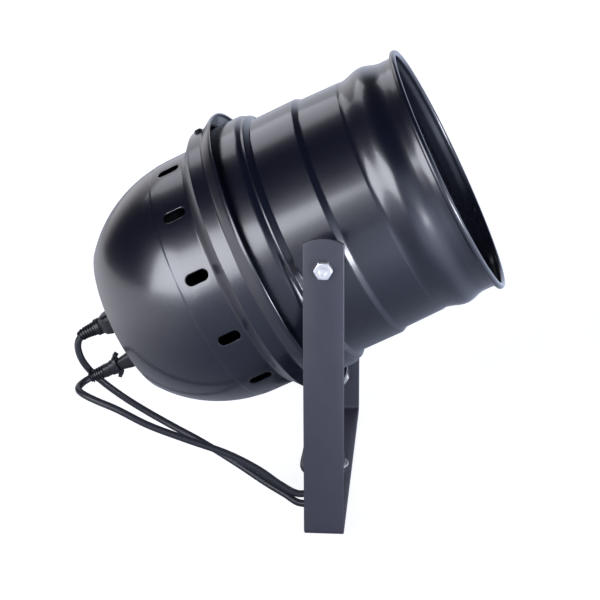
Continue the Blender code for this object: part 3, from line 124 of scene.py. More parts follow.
def rounded(corners, steps=5):
    """Points of (place, radius) through corners of (place, radius, setback of the rounding)."""
    points = []
    for i, (place, radius, setback) in enumerate(corners):
        here = Vector((place, radius))
        if setback == 0 or i in (0, len(corners) - 1):
            points.append(here)
            continue
        start = here + (Vector(corners[i - 1][:2]) - here).normalized() * setback
        end = here + (Vector(corners[i + 1][:2]) - here).normalized() * setback
        for k in range(steps + 1):
            t = k / steps
            points.append(start.lerp(here, t).lerp(here.lerp(end, t), t))
    return points


def lathe(profile, steps, closed=False, start=0.0):
    """Points of (place, radius) turned round Z; a closed profile ends where it starts."""
    shape = bmesh.new()
    first = Matrix.Rotation(start, 3, "Z")
    verts = [shape.verts.new(first @ Vector((radius, 0, place))) for place, radius in profile]
    edges = [shape.edges.new(pair) for pair in zip(verts, verts[1:])]
    if closed:
        edges.append(shape.edges.new((verts[-1], verts[0])))
    bmesh.ops.spin(shape, geom=verts + edges, cent=(0, 0, 0), axis=(0, 0, 1), angle=2 * math.pi,
                   steps=steps, use_merge=True)
    bmesh.ops.remove_doubles(shape, verts=shape.verts, dist=MERGE)
    bmesh.ops.recalc_face_normals(shape, faces=shape.faces)
    return shape


def face_out(shape):
    """Turn an open shell's faces away from the Z axis."""
    total = sum(face.normal.dot(Vector((*face.calc_center_median()[:2], 0))) for face in shape.faces)
    if total < 0:
        bmesh.ops.reverse_faces(shape, faces=shape.faces)
    return shape


def object_of(name, shape, matrix=None):
    """An object for a bmesh, moved to its place."""
    if matrix is not None:
        bmesh.ops.transform(shape, matrix=matrix, verts=shape.verts)
    mesh = bpy.data.meshes.new(name)
    shape.to_mesh(mesh)
    shape.free()
    obj = bpy.data.objects.new(name, mesh)
    bpy.context.scene.collection.objects.link(obj)
    return obj


def apply_modifiers(obj):
    """Swap an object's mesh for what its modifiers make of it."""
    bpy.context.view_layer.update()
    graph = bpy.context.evaluated_depsgraph_get()
    mesh = bpy.data.meshes.new_from_object(obj.evaluated_get(graph))
    obj.modifiers.clear()
    old, obj.data = obj.data, mesh
    bpy.data.meshes.remove(old)
    return obj


def carve(obj, tool, operation="DIFFERENCE"):
    """Cut or join another object with a Boolean, and remove it."""
    modifier = obj.modifiers.new("carve", "BOOLEAN")
    modifier.operation = operation
    modifier.object = tool
    apply_modifiers(obj)
    bpy.data.objects.remove(tool)
    return obj


def soften(obj, width, segments=2, angle=30):
    """Bevel the sharp edges, as a press, a mould or a file leaves them."""
    bevel = obj.modifiers.new("edges", "BEVEL")
    bevel.width = width
    bevel.segments = segments
    bevel.limit_method = "ANGLE"
    bevel.angle_limit = math.radians(angle)
    return apply_modifiers(obj)


def paint(obj, finish):
    """Give an object one finish."""
    material, slot = SPEC[finish]
    obj.data.materials.clear()
    obj.data.materials.append(material)


def dress(obj, finish, body, stands_for=(), sharp=SHARP):
    """Give a finished object its shading, finish and body, in place of plain nodes."""
    obj.data.shade_smooth()
    obj.data.set_sharp_from_angle(angle=math.radians(sharp))
    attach(obj, body)
    paint(obj, finish)
    if stands_for:
        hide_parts(*stands_for)
    return obj


def block(name, size, matrix):
    """A plain box, round the origin of its matrix."""
    shape = bmesh.new()
    bmesh.ops.create_cube(shape, size=1)
    bmesh.ops.scale(shape, vec=size, verts=shape.verts)
    return object_of(name, shape, matrix)


def rod(name, radius, length, matrix, sides=48, end_radius=None):
    """A cylinder or cone along its matrix's Z; end_radius is the one at +Z."""
    shape = bmesh.new()
    bmesh.ops.create_cone(shape, cap_ends=True, segments=sides, radius1=radius,
                          radius2=radius if end_radius is None else end_radius, depth=length)
    return object_of(name, shape, matrix)


# %% [markdown]
# Satin paint shows its shape through what it reflects, so the room matters as much as the lamps. It
# is dark overhead and on the left, pale behind and on the right, over a white floor that is dark in
# reflections close to the lamp and on the left: there its glow to reflections holds painted shade,
# and further out and on the right painted light. One large soft lamp stands low on the left, a second
# one hangs high behind, and a third, wide and low, stands at the right.

# %% Floor, room and lamps
FLOOR_HEIGHT = -0.0008
FLOOR_SIZE = 14.0
FLOOR_COLOUR = (0.50, 0.53, 0.60, 1)
WHITE = (1, 1, 1, 1)
LEFT_TINT = (1.00, 0.98, 1.02, 1)
RIGHT_TINT = (0.80, 0.90, 1.15, 1)
LAMP_COLOUR = (0.96, 0.98, 1.08)
LEAST_LIGHT = 0.012

# Each ramp reads (from, to, value at the start, value at the end).
TINT_RAMP = (-0.6, 0.2, 0.0, 1.0)
RIGHT_WALL = (-0.8, 0.7, 0.02, 0.70)
BACK_WALL = (0.50, 0.85, 0.0, 0.80)
CEILING = (0.40, 0.70, 1.0, 0.0)
SEEN_FLOOR = (0.6, 2.5, 0.86, 0.97)
# Painted shade in the floor's glow to reflections close to the can, and painted light to the right.
PAINTED_FLOOR_SHADE = (0.12, 0.60, 0.07, 0.95)
PAINTED_RIGHT_LIGHT = (-0.15, 0.35, 0.10, 0.80)


def node_setter(tree):
    """A short way to add a node with its settings and links: node(kind, {socket: value or link})."""
    def node(kind, inputs=None, **settings):
        made = tree.nodes.new(kind)
        for key, value in settings.items():
            setattr(made, key, value)
        for key, value in (inputs or {}).items():
            if isinstance(value, bpy.types.NodeSocket):
                tree.links.new(value, made.inputs[key])
            else:
                made.inputs[key].default_value = value
        return made
    return node


def ramp(node, value, limits, kind="SMOOTHSTEP"):
    """A value taken from one range to another."""
    ends = dict(enumerate(limits, start=1))
    return node("ShaderNodeMapRange", {0: value, **ends}, interpolation_type=kind).outputs[0]


def calc(node, operation, first, second):
    """One step of arithmetic."""
    return node("ShaderNodeMath", {0: first, 1: second}, operation=operation).outputs[0]


def mixed(node, share, first, second):
    """A colour between two others."""
    return node("ShaderNodeMix", {0: share, 6: first, 7: second}, data_type="RGBA").outputs[2]


def tint(node, x):
    """The room's tint, from the left to the right."""
    return mixed(node, ramp(node, x, TINT_RAMP, "LINEAR"), LEFT_TINT, RIGHT_TINT)


def light_room():
    """White to the camera; to the object dark overhead and on the left, pale behind and on the right."""
    world = bpy.data.worlds.new("room")
    bpy.context.scene.world = world
    world.use_nodes = True
    tree = world.node_tree
    tree.nodes.clear()
    node = node_setter(tree)
    path = node("ShaderNodeLightPath")
    direction = node("ShaderNodeTexCoord")
    x, y, z = node("ShaderNodeSeparateXYZ", {0: direction.outputs["Generated"]}).outputs
    walls = calc(node, "MAXIMUM", ramp(node, x, RIGHT_WALL), ramp(node, y, BACK_WALL))
    level = calc(node, "MAXIMUM", calc(node, "MULTIPLY", walls, ramp(node, z, CEILING)), LEAST_LIGHT)
    room = node("ShaderNodeBackground", {"Color": tint(node, x), "Strength": level})
    backdrop = node("ShaderNodeBackground", {"Color": WHITE, "Strength": 1.0})
    mix = node("ShaderNodeMixShader", {0: path.outputs["Is Camera Ray"], 1: room.outputs[0],
                                       2: backdrop.outputs[0]})
    node("ShaderNodeOutputWorld", {"Surface": mix.outputs[0]})


def lay_floor():
    """A white floor that keeps the object's shadow, with painted shade and light in its glow to
    reflections.
    """
    shape = bmesh.new()
    bmesh.ops.create_grid(shape, x_segments=1, y_segments=1, size=FLOOR_SIZE / 2)
    bmesh.ops.translate(shape, vec=(0, 0, FLOOR_HEIGHT), verts=shape.verts)
    floor = object_of("floor", shape)
    material = bpy.data.materials.new("white_floor")
    material.use_nodes = True
    tree = material.node_tree
    tree.nodes.clear()
    node = node_setter(tree)
    path = node("ShaderNodeLightPath").outputs
    place = node("ShaderNodeTexCoord").outputs["Object"]
    reach = node("ShaderNodeVectorMath", {0: place}, operation="LENGTH").outputs["Value"]
    heading = node("ShaderNodeVectorMath", {0: place}, operation="NORMALIZE").outputs[0]
    x = node("ShaderNodeSeparateXYZ", {0: heading}).outputs["X"]
    # The glow to reflections is painted: painted shade close to the can, painted light to the sides and
    # most on the right.
    aside = calc(node, "MAXIMUM", calc(node, "POWER", x, 2.0), ramp(node, x, PAINTED_RIGHT_LIGHT))
    shade = calc(node, "MULTIPLY", ramp(node, reach, PAINTED_FLOOR_SHADE), aside)
    painted_reflection = calc(node, "MULTIPLY", path["Is Glossy Ray"], shade)
    direct = calc(node, "MAXIMUM", path["Is Camera Ray"], path["Is Transmission Ray"])
    direct = calc(node, "MULTIPLY", direct, ramp(node, reach, SEEN_FLOOR))
    glow = node("ShaderNodeEmission", {"Color": mixed(node, path["Is Glossy Ray"], WHITE, tint(node, x)),
                                       "Strength": calc(node, "MAXIMUM", direct, painted_reflection)})
    paper = node("ShaderNodeBsdfDiffuse", {"Color": FLOOR_COLOUR})
    both = node("ShaderNodeAddShader", {0: paper.outputs[0], 1: glow.outputs[0]})
    node("ShaderNodeOutputMaterial", {"Surface": both.outputs[0]})
    floor.data.materials.append(material)
    return floor


def hang_lamp(name, azimuth, elevation, distance, width, height, radiance):
    """A soft lamp that faces the pivot; azimuth 0 is towards the camera's side."""
    back = view_axes(math.radians(azimuth), math.radians(elevation), 0)[2]
    place = PIVOT + back * distance
    data = bpy.data.lights.new(name, "AREA")
    data.shape = "RECTANGLE"
    data.size = width
    data.size_y = height
    data.color = LAMP_COLOUR
    data.energy = radiance * math.pi * width * height
    lamp = bpy.data.objects.new(name, data)
    turned = (PIVOT - place).to_track_quat("-Z", "Y")
    lamp.matrix_world = Matrix.Translation(place) @ turned.to_matrix().to_4x4()
    lamp.visible_camera = False
    bpy.context.scene.collection.objects.link(lamp)
    return lamp


light_room()
lay_floor()
hang_lamp("key_lamp", azimuth=-37, elevation=13, distance=2.6, width=1.9, height=1.5, radiance=5.6)
hang_lamp("back_lamp", azimuth=-137, elevation=42, distance=2.6, width=1.3, height=1.1, radiance=1.5)
hang_lamp("right_lamp", azimuth=58, elevation=1, distance=2.7, width=2.0, height=0.6, radiance=15.0)

# %% [markdown]
# Each finish is one material with noise in its colour, roughness and relief, at the size that the
# real grain has. Object coordinates are metres here, so a noise scale of 600 gives grains of about
# 1.7 mm. Even values are set on the shader itself, and only what varies is linked.

# %% Finishes
SPEC = {}
COAT_SMOOTHING = 0.6
BROAD_NOISE = 1 / 30
NOISE_RANGE = (0.1, 0.45)


def grainy(name, slot, low, high, *, grain, rough=(0.4, 0.5), relief=0.3, depth=0.00002,
           metallic=0.0, specular=0.5, coat=0.0, clear=0.0, ior=1.5, stretch=(1, 1, 1)):
    """A finish whose colour, roughness and relief follow a fine noise, and a broad one for wear."""
    material = bpy.data.materials.new(name)
    material.use_nodes = True
    tree = material.node_tree
    shader = tree.nodes["Principled BSDF"].inputs
    even = {"Metallic": metallic, "Specular IOR Level": specular, "Coat Weight": coat,
            "Coat Roughness": COAT_SMOOTHING * rough[0], "Transmission Weight": clear, "IOR": ior}
    for socket, value in even.items():
        shader[socket].default_value = value
    node = node_setter(tree)
    place = node("ShaderNodeTexCoord").outputs["Object"]
    place = node("ShaderNodeMapping", {0: place, "Scale": stretch}).outputs[0]
    fine = node("ShaderNodeTexNoise", {0: place, "Scale": grain, "Detail": 2.0}).outputs[0]
    broad = node("ShaderNodeTexNoise", {0: place, "Scale": grain * BROAD_NOISE, "Detail": 3.0}).outputs[0]
    wear = ramp(node, calc(node, "MULTIPLY", fine, broad), (*NOISE_RANGE, *rough), "LINEAR")
    bump = node("ShaderNodeBump", {"Strength": relief, "Distance": depth, "Height": fine})
    tree.links.new(mixed(node, broad, (*low, 1), (*high, 1)), shader["Base Color"])
    tree.links.new(wear, shader["Roughness"])
    tree.links.new(bump.outputs[0], shader["Normal"])
    SPEC[name] = (material, slot)


grainy("can_paint", "can_paint", (0.002, 0.003, 0.011), (0.004, 0.005, 0.015), rough=(0.27, 0.34),
       grain=650, relief=0.4, depth=0.00004, specular=0.9, coat=0.8)
grainy("yoke_paint", "yoke_paint", (0.034, 0.034, 0.050), (0.040, 0.040, 0.057), rough=(0.36, 0.44),
       grain=1100, depth=0.00003, specular=0.8)
grainy("zinc", "zinc", (0.80, 0.81, 0.83), (0.92, 0.92, 0.92), rough=(0.26, 0.42), grain=900,
       relief=0.15, metallic=0.65)
grainy("black_oxide", "black_oxide", (0.03, 0.03, 0.034), (0.06, 0.06, 0.065), rough=(0.35, 0.5),
       grain=900, relief=0.2, metallic=0.7)
grainy("steel", "steel", (0.42, 0.42, 0.42), (0.55, 0.55, 0.54), rough=(0.3, 0.45), grain=700,
       relief=0.2, metallic=1.0, stretch=(1, 1, 0.1))
grainy("aluminium", "aluminium", (0.55, 0.56, 0.57), (0.68, 0.68, 0.69), rough=(0.3, 0.46), grain=700,
       relief=0.2, metallic=1.0, stretch=(0.1, 1, 1))
grainy("brass", "brass", (0.62, 0.45, 0.17), (0.76, 0.58, 0.28), rough=(0.25, 0.38), grain=800,
       relief=0.1, metallic=1.0)
grainy("moulding", "plastic", (0.006, 0.006, 0.009), (0.011, 0.011, 0.016), rough=(0.34, 0.46),
       grain=1500, relief=0.35)
grainy("cable_sheath", "cable", (0.018, 0.019, 0.026), (0.026, 0.027, 0.035), rough=(0.34, 0.46),
       grain=700, relief=0.2)
grainy("circuit_board", "circuit_board", (0.008, 0.075, 0.030), (0.012, 0.11, 0.045), rough=(0.3, 0.4),
       grain=400, relief=0.2)
grainy("clear_lens", "clear_lens", (0.93, 0.94, 0.95), (0.98, 0.98, 0.98), rough=(0.03, 0.08),
       grain=200, relief=0.02, clear=1.0, ior=1.49)
grainy("lens_resin", "clear_lens", (0.90, 0.91, 0.92), (0.96, 0.96, 0.96), rough=(0.06, 0.14),
       grain=500, relief=0.05, specular=0.6, clear=0.75)
grainy("phosphor", "clear_lens", (0.70, 0.52, 0.08), (0.80, 0.62, 0.14), grain=900)
grainy("white_board", "circuit_board", (0.62, 0.63, 0.62), (0.72, 0.72, 0.70), rough=(0.35, 0.5),
       grain=500)
print("finishes:", sorted(SPEC))

# %% [markdown]
# The cords come first, because they have to lie where the frame has them. Each is one smooth
# curve through listed points, followed by a neat coil that a formula winds: in along the
# bottom, up at the turning point and out on top. The points repeat those of the working model.

# %% The cords' routes
CORD_RADIUS = 0.003
CORD_ROUNDNESS = 4
CORD_WELD = 0.00001
CORD_SHARP = 60
SPAN_POINTS = 16
CORD_STEP = 0.003
CORD_STRAIGHT = 0.0025
CORD_GAP = 0.0003
CONNECTOR_Y = -0.034
MAINS_RISE = 0.0125
DATA_RISE = -0.025
MAINS_BOOT_END = -0.226
DATA_BOOT_END = -0.237
COIL_TURNS = 4.25
COIL_OUTER = 0.0395
COIL_PITCH = 0.0068
COIL_LAYER = 0.0069
COIL_ENTRY = 0.006
COIL_EXIT = 0.020
COIL_BOTTOM = 0.0043
COIL_INNER = COIL_OUTER - COIL_TURNS / 2 * COIL_PITCH
LOOP_POINTS = 48
MAINS_COIL_CENTRE = (-0.0665, 0.250)
DATA_COIL_CENTRE = (-0.0515, 0.352)

MAINS_ROUTE = (
    (-0.2132, -0.034, 0.1304), (-0.2162, -0.034, 0.1252), (-0.2167, -0.034, 0.1194),
    (-0.2152, -0.033, 0.1115), (-0.2116, -0.030, 0.1022), (-0.2045, -0.026, 0.0916),
    (-0.1943, -0.0225, 0.0806), (-0.1792, -0.020, 0.0680), (-0.1609, -0.021, 0.0568),
    (-0.1395, -0.025, 0.0464), (-0.1120, -0.035, 0.0362), (-0.0810, -0.051, 0.0249),
    (-0.0520, -0.068, 0.0139), (-0.0360, -0.0775, 0.0090), (-0.0250, -0.0845, 0.0054),
    (-0.0149, -0.0886, 0.0064), (-0.0033, -0.0865, 0.0064), (0.0059, -0.0789, 0.0064),
    (0.0091, -0.0667, 0.0064), (0.0040, -0.0526, 0.0064), (-0.0055, -0.0413, 0.0064),
    (-0.0147, -0.0303, 0.0064), (-0.0218, -0.0210, 0.0050), (-0.0260, -0.010, 0.0036),
    (-0.0272, 0.002, 0.0033), (-0.027, 0.020, 0.0033), (-0.027, 0.060, 0.0033),
    (-0.027, 0.110, 0.0033), (-0.027, 0.170, 0.0033), (-0.027, 0.215, 0.0038),
)
DATA_ROUTE = (
    (-0.2068, -0.0350, 0.0930), (-0.2112, -0.0383, 0.0911), (-0.2138, -0.0434, 0.0899),
    (-0.2144, -0.0493, 0.0893), (-0.2124, -0.056, 0.0890), (-0.2068, -0.0616, 0.0878),
    (-0.1966, -0.066, 0.0849), (-0.1786, -0.070, 0.0792), (-0.1514, -0.073, 0.0667),
    (-0.1178, -0.074, 0.0546), (-0.0842, -0.075, 0.0433), (-0.0580, -0.077, 0.0305),
    (-0.0400, -0.0795, 0.0188), (-0.0250, -0.0812, 0.0118), (-0.0145, -0.080, 0.0129),
    (-0.0052, -0.0742, 0.0130), (0.0006, -0.0654, 0.0130), (0.0018, -0.0572, 0.0130),
    (-0.0010, -0.0465, 0.0130), (-0.0065, -0.0365, 0.0130), (-0.0120, -0.0265, 0.0110),
    (-0.0163, -0.0155, 0.0079), (-0.0188, -0.004, 0.0054), (-0.020, 0.008, 0.0038),
    (-0.020, 0.025, 0.0033), (-0.020, 0.070, 0.0033), (-0.020, 0.120, 0.0033),
    (-0.0185, 0.150, 0.0033), (-0.0145, 0.180, 0.0033), (-0.0123, 0.210, 0.0033),
    (-0.012, 0.240, 0.0033), (-0.012, 0.300, 0.0033), (-0.012, 0.325, 0.0037),
)


def at_time(t, start, end, first, last):
    """Where a point that goes evenly from first to last is at time t."""
    return ((end - t) * first + (t - start) * last) / (end - start)


def smooth_curve(points, step):
    """Even points on a centripetal Catmull-Rom curve through the points."""
    points = np.array(points, float)
    points = np.vstack([2 * points[0] - points[1], points, 2 * points[-1] - points[-2]])
    knots = np.concatenate([[0], np.cumsum(np.linalg.norm(np.diff(points, axis=0), axis=1) ** 0.5)])
    fine = []
    for i in range(1, len(points) - 2):
        a, b, c, d = points[i - 1:i + 3]
        ta, tb, tc, td = knots[i - 1:i + 3]
        for t in np.linspace(tb, tc, SPAN_POINTS, endpoint=i == len(points) - 3):
            bc = at_time(t, tb, tc, b, c)
            abc = at_time(t, ta, tc, at_time(t, ta, tb, a, b), bc)
            bcd = at_time(t, tb, td, bc, at_time(t, tc, td, c, d))
            fine.append(at_time(t, tb, tc, abc, bcd))
    fine = np.array(fine)
    run = np.concatenate([[0], np.cumsum(np.linalg.norm(np.diff(fine, axis=0), axis=1))])
    marks = np.linspace(0, run[-1], round(run[-1] / step) + 1)
    return [tuple(np.interp(mark, run, fine[:, axis]) for axis in range(3)) for mark in marks]


def coil_points(centre):
    """A flat coil in two layers: in along the bottom, up at the turning point, out on top."""
    total = COIL_TURNS * 2 * math.pi
    points = [(centre[0] + COIL_OUTER, centre[1] - COIL_ENTRY, COIL_BOTTOM)]
    for angle in np.linspace(0, total, round(COIL_TURNS * LOOP_POINTS) + 1):
        from_middle = angle - total / 2
        radius = COIL_INNER + abs(from_middle) / (2 * math.pi) * COIL_PITCH
        climb = min(max(from_middle / math.pi + 0.5, 0), 1)
        height = COIL_BOTTOM + COIL_LAYER * (1 - math.cos(math.pi * climb)) / 2
        points.append((centre[0] + radius * math.cos(angle), centre[1] + radius * math.sin(angle), height))
    points.append((centre[0] - COIL_EXIT, centre[1] + COIL_OUTER, COIL_BOTTOM + COIL_LAYER))
    return points


def whole_route(boot_end, rise, route, coil_centre):
    """The free run and the coil as one line of points, from the boot's end to the plug."""
    leaves = in_can(boot_end - CORD_GAP, CONNECTOR_Y, rise)
    heading = (CAN.to_3x3() @ Vector((0, 0, -1))).normalized()
    coil = coil_points(coil_centre)
    last = Vector(coil[0]) - Vector((0, CORD_GAP, 0))
    knots = [tuple(leaves), tuple(leaves + heading * CORD_STRAIGHT), *route,
             tuple(last - Vector((0, CORD_STRAIGHT, 0))), tuple(last)]
    return smooth_curve(knots, CORD_STEP) + coil[1:]


def tube(name, points):
    """A round cord along the points, as a welded mesh."""
    curve = bpy.data.curves.new(name, "CURVE")
    curve.dimensions = "3D"
    curve.bevel_depth = CORD_RADIUS
    curve.bevel_resolution = CORD_ROUNDNESS
    curve.use_fill_caps = True
    spline = curve.splines.new("POLY")
    spline.points.add(len(points) - 1)
    for point, place in zip(spline.points, points):
        point.co = (*place, 1)
    holder = bpy.data.objects.new(name, curve)
    bpy.context.scene.collection.objects.link(holder)
    bpy.context.view_layer.update()
    mesh = bpy.data.meshes.new_from_object(holder.evaluated_get(bpy.context.evaluated_depsgraph_get()))
    bpy.data.objects.remove(holder)
    shape = bmesh.new()
    shape.from_mesh(mesh)
    bpy.data.meshes.remove(mesh)
    bmesh.ops.remove_doubles(shape, verts=shape.verts, dist=CORD_WELD)
    bmesh.ops.recalc_face_normals(shape, faces=shape.faces)
    return object_of(name, shape)


def length_of(points):
    """The length of a line of points."""
    return float(np.linalg.norm(np.diff(np.array(points), axis=0), axis=1).sum())


mains_path = whole_route(MAINS_BOOT_END, MAINS_RISE, MAINS_ROUTE, MAINS_COIL_CENTRE)
data_path = whole_route(DATA_BOOT_END, DATA_RISE, DATA_ROUTE, DATA_COIL_CENTRE)
print(f"mains lead {length_of(mains_path):.3f} m, data lead {length_of(data_path):.3f} m")


def make_cord(name, path, nodes):
    """A lead in its sheath, between the yoke and the can."""
    cord = tube(name, path)
    cord.data.shade_smooth()
    cord.data.set_sharp_from_angle(angle=math.radians(CORD_SHARP))
    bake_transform(cord)
    paint(cord, "cable_sheath")
    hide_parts(*nodes)
    return cord


mains_lead = make_cord("mains_lead", mains_path, ("mains_cord", "mains_coil"))
data_lead = make_cord("data_lead", data_path, ("data_cord", "data_coil"))

# %% [markdown]
# The front barrel is one spun tube of 1 mm steel: skirt, shoulder, body, a step, a slight taper, a
# crease, a round bulge, a neck and a rim that is rolled outwards. The profile is the outer face.
# At the rim it turns on a small circle, so the wall, which Solidify adds inwards, ends as a bead.

# %% The front barrel
WALL = 0.001
BARREL_STEPS = 224
CREASE = (0.056, 0.1032)
BULGE = (0.075, 0.1072)
NECK = (0.092, 0.1033)
RIM_CENTRE = (0.1055, 0.1055)
RIM_CURL = 0.0016
RIM_ANGLES = range(180, -116, -20)


def half_wave(start, end, steps=9):
    """Points between two that leave both along the beam."""
    points = []
    for k in range(1, steps + 1):
        t = k / steps
        points.append(Vector((start[0] + (end[0] - start[0]) * t,
                              start[1] + (end[1] - start[1]) * (1 - math.cos(math.pi * t)) / 2)))
    return points


def barrel_profile():
    """The outer face from the skirt's end to the curled rim."""
    points = rounded([
        (-0.0730, 0.1147, 0), (-0.0325, 0.1147, 0.0026), (-0.0293, 0.1121, 0.0008),
        (-0.0270, 0.1123, 0.0010), (-0.0232, 0.1073, 0.0010), (0.0150, 0.1072, 0.0008),
        (0.0195, 0.1047, 0.0012), (0.0540, 0.1037, 0.0006), (*CREASE, 0),
    ])
    points += half_wave(CREASE, BULGE) + half_wave(BULGE, NECK)
    points += rounded([(0.0925, 0.1033, 0), (0.0990, 0.1033, 0.0020), (0.1030, 0.1039, 0.0010),
                       (0.1050, 0.1039, 0)])
    for degrees in RIM_ANGLES:
        angle = math.radians(degrees)
        points.append(Vector((RIM_CENTRE[0] + RIM_CURL * math.sin(angle),
                              RIM_CENTRE[1] + RIM_CURL * math.cos(angle))))
    return points


def shell(name, shape):
    """An open spun face that gets its wall on the inside and its place in the can."""
    obj = object_of(name, shape)
    wall = obj.modifiers.new("wall", "SOLIDIFY")
    wall.thickness = WALL
    wall.offset = -1
    apply_modifiers(obj).data.transform(CAN)
    return obj


barrel = shell("barrel_shell", face_out(lathe(barrel_profile(), BARREL_STEPS)))
dress(barrel, "can_paint", "can", ("front_barrel",))
print("barrel:", len(barrel.data.polygons), "faces")

# %% [markdown]
# The rear casing is spun the same way, with a flared lip, a belt, a cone, a band with punched
# vents, a dome and a flat end disc. The vents are opened before the wall is made: at each, a
# patch of the band's faces goes, and the edge round it is extruded inwards in rings until it is
# the slot's outline. That keeps every point on the spun surface, so the paint stays smooth.

# %% The rear casing
CASING_STEPS = 384
BAND_ROWS = 12
BAND = (-0.0870, -0.1115)
CASING_RADIUS = 0.1076
DOME_START = -0.105
DOME_LENGTH = 0.115
SEAM = -0.1165
SEAM_STEP = 0.00016
DISC_RADIUS = 0.068
DISC_EDGE = 0.0012
DISC_RINGS = (0.045, 0.020, 0)
SEAM_ROWS = (-0.1135, -0.1155, SEAM + 0.0002, SEAM - 0.0002, -0.1178)
ROUND_START = -0.1200
ROUND_ROWS = 22
VENTS = 12
VENT_PHASE = 16.0
VENT_PLACE = -0.0992
VENT_LENGTH = 0.0195
VENT_WIDTH = 0.0094
PATCH_COLUMNS = 16
VENT_DIMPLE = 0.00025
VENT_RINGS = ((0.45, 0, 0), (1.0, 0.0010, 0), (1.0, 0.0004, 0.3), (1.0, 0, 1.0))


def dome_radius(place):
    """The casing's outer radius behind the cone, with a small step at the spinning seam."""
    if place > DOME_START:
        return CASING_RADIUS
    share = (DOME_START - place) / DOME_LENGTH
    return CASING_RADIUS * math.sqrt(1 - share * share) - (SEAM_STEP if place < SEAM else 0)


DISC_PLACE = DOME_START - DOME_LENGTH * math.sqrt(1 - (DISC_RADIUS / CASING_RADIUS) ** 2)


def casing_profile():
    """The outer face from the lip's edge to the middle of the end disc."""
    points = rounded([
        (-0.0496, 0.12500, 0), (-0.0504, 0.12550, 0.0006), (-0.0530, 0.12490, 0.0012),
        (-0.0600, 0.12050, 0.0020), (-0.0622, 0.11880, 0.0012), (-0.0745, 0.11880, 0.0010),
        (-0.0846, 0.10770, 0.0014), (-0.0866, 0.10760, 0),
    ])
    for k in range(BAND_ROWS + 1):
        place = BAND[0] + (BAND[1] - BAND[0]) * k / BAND_ROWS
        points.append(Vector((place, dome_radius(place))))
    points += [Vector((place, dome_radius(place))) for place in SEAM_ROWS]
    first = math.asin((DOME_START - ROUND_START) / DOME_LENGTH)
    last = math.acos((DISC_RADIUS + DISC_EDGE) / CASING_RADIUS)
    for angle in np.linspace(first, last, ROUND_ROWS):
        place = DOME_START - DOME_LENGTH * math.sin(angle)
        points.append(Vector((place, dome_radius(place))))
    points += rounded([(points[-1][0], points[-1][1], 0), (DISC_PLACE + 0.0001, DISC_RADIUS, 0.0009),
                       (DISC_PLACE, DISC_RADIUS - 2 * DISC_EDGE, 0)])[1:]
    points += [Vector((DISC_PLACE, radius)) for radius in DISC_RINGS]
    return points


def slot_reach(along, across):
    """How far the slot's outline lies from its middle in this direction."""
    size = math.hypot(along, across)
    c, s = abs(along) / size, abs(across) / size
    end = VENT_WIDTH / 2
    straight = VENT_LENGTH / 2 - end
    if s > 0 and end / s * c <= straight:
        return end / s
    return straight * c + math.sqrt(end * end - (straight * s) ** 2)


def open_vents(shape, profile):
    """Punch the ring of vents: the rings close in on the slot, and the last ones sink a little."""
    places = [point[0] for point in reversed(profile)]
    radii = [point[1] for point in reversed(profile)]
    column = 2 * math.pi / CASING_STEPS
    for k in range(VENTS):
        middle = -math.pi / 2 - math.radians(VENT_PHASE + 360 * k / VENTS)

        def aside(co):
            angle = math.atan2(co.y, co.x) - middle
            return (angle + math.pi) % (2 * math.pi) - math.pi

        patch = []
        for face in shape.faces:
            co = face.calc_center_median()
            if BAND[1] < co.z < BAND[0] and abs(aside(co)) < PATCH_COLUMNS / 2 * column:
                patch.append(face)
        inside = set(patch)
        border = [edge for edge in shape.edges
                  if len(edge.link_faces) == 2 and len(inside.intersection(edge.link_faces)) == 1]
        bmesh.ops.delete(shape, geom=patch, context="FACES")
        for share, proud, sink in VENT_RINGS:
            made = bmesh.ops.extrude_edge_only(shape, edges=border)["geom"]
            border = [item for item in made if isinstance(item, bmesh.types.BMEdge)]
            for vert in (item for item in made if isinstance(item, bmesh.types.BMVert)):
                along = vert.co.z - VENT_PLACE
                across = aside(vert.co) * CASING_RADIUS
                size = math.hypot(along, across)
                reach = size + (slot_reach(along, across) + proud - size) * share
                along, across = along / size * reach, across / size * reach
                place = VENT_PLACE + along
                radius = np.interp(place, places, radii) - VENT_DIMPLE * sink
                angle = middle + across / CASING_RADIUS
                vert.co = (radius * math.cos(angle), radius * math.sin(angle), place)
            border = [edge for edge in border if len(edge.link_faces) == 1]
    return shape


profile = casing_profile()
first_angle = -math.pi / 2 - math.radians(VENT_PHASE)
casing_face = face_out(lathe(profile, CASING_STEPS, start=first_angle))
casing = shell("casing_shell", open_vents(casing_face, profile))
dress(casing, "can_paint", "can", ("rear_casing",), sharp=40)
print("casing:", len(casing.data.polygons), "faces")

# %% [markdown]
# The yoke is one strip of bar, folded to a U. Its side view is drawn as a chain of points, filled
# and extruded across the strip, then the arm tops are cut round and the holes drilled. The small
# bevel on all its edges is what catches the light down the right-hand edge.

# %% The yoke
STRIP_WIDTH = 0.032
STRIP_THICKNESS = 0.003
ARM_OUTER = 0.134
BEND_INSIDE = 0.003
ARM_TOP_RISE = 0.0246
ARM_TOP_RADIUS = 0.0307
BOLT_HOLE = 0.0043
CLAMP_HOLE = 0.00635
ARM_BOLT = (-0.001, 0.0366)
YOKE_EDGE = 0.0009


def arc(centre, radius, start, end, steps):
    """Points on an arc, with its angles in degrees."""
    return [(centre[0] + radius * math.cos(angle), centre[1] + radius * math.sin(angle))
            for angle in np.radians(np.linspace(start, end, steps + 1))]


def prism(name, outline, depth, matrix):
    """A flat outline of (x, y), filled and extruded along its Z, with its middle at the origin."""
    shape = bmesh.new()
    verts = [shape.verts.new((x, y, -depth / 2)) for x, y in outline]
    face = shape.faces.new(verts)
    made = bmesh.ops.extrude_face_region(shape, geom=[face])["geom"]
    top = [item for item in made if isinstance(item, bmesh.types.BMVert)]
    bmesh.ops.translate(shape, vec=(0, 0, depth), verts=top)
    bmesh.ops.recalc_face_normals(shape, faces=shape.faces)
    return object_of(name, shape, matrix)


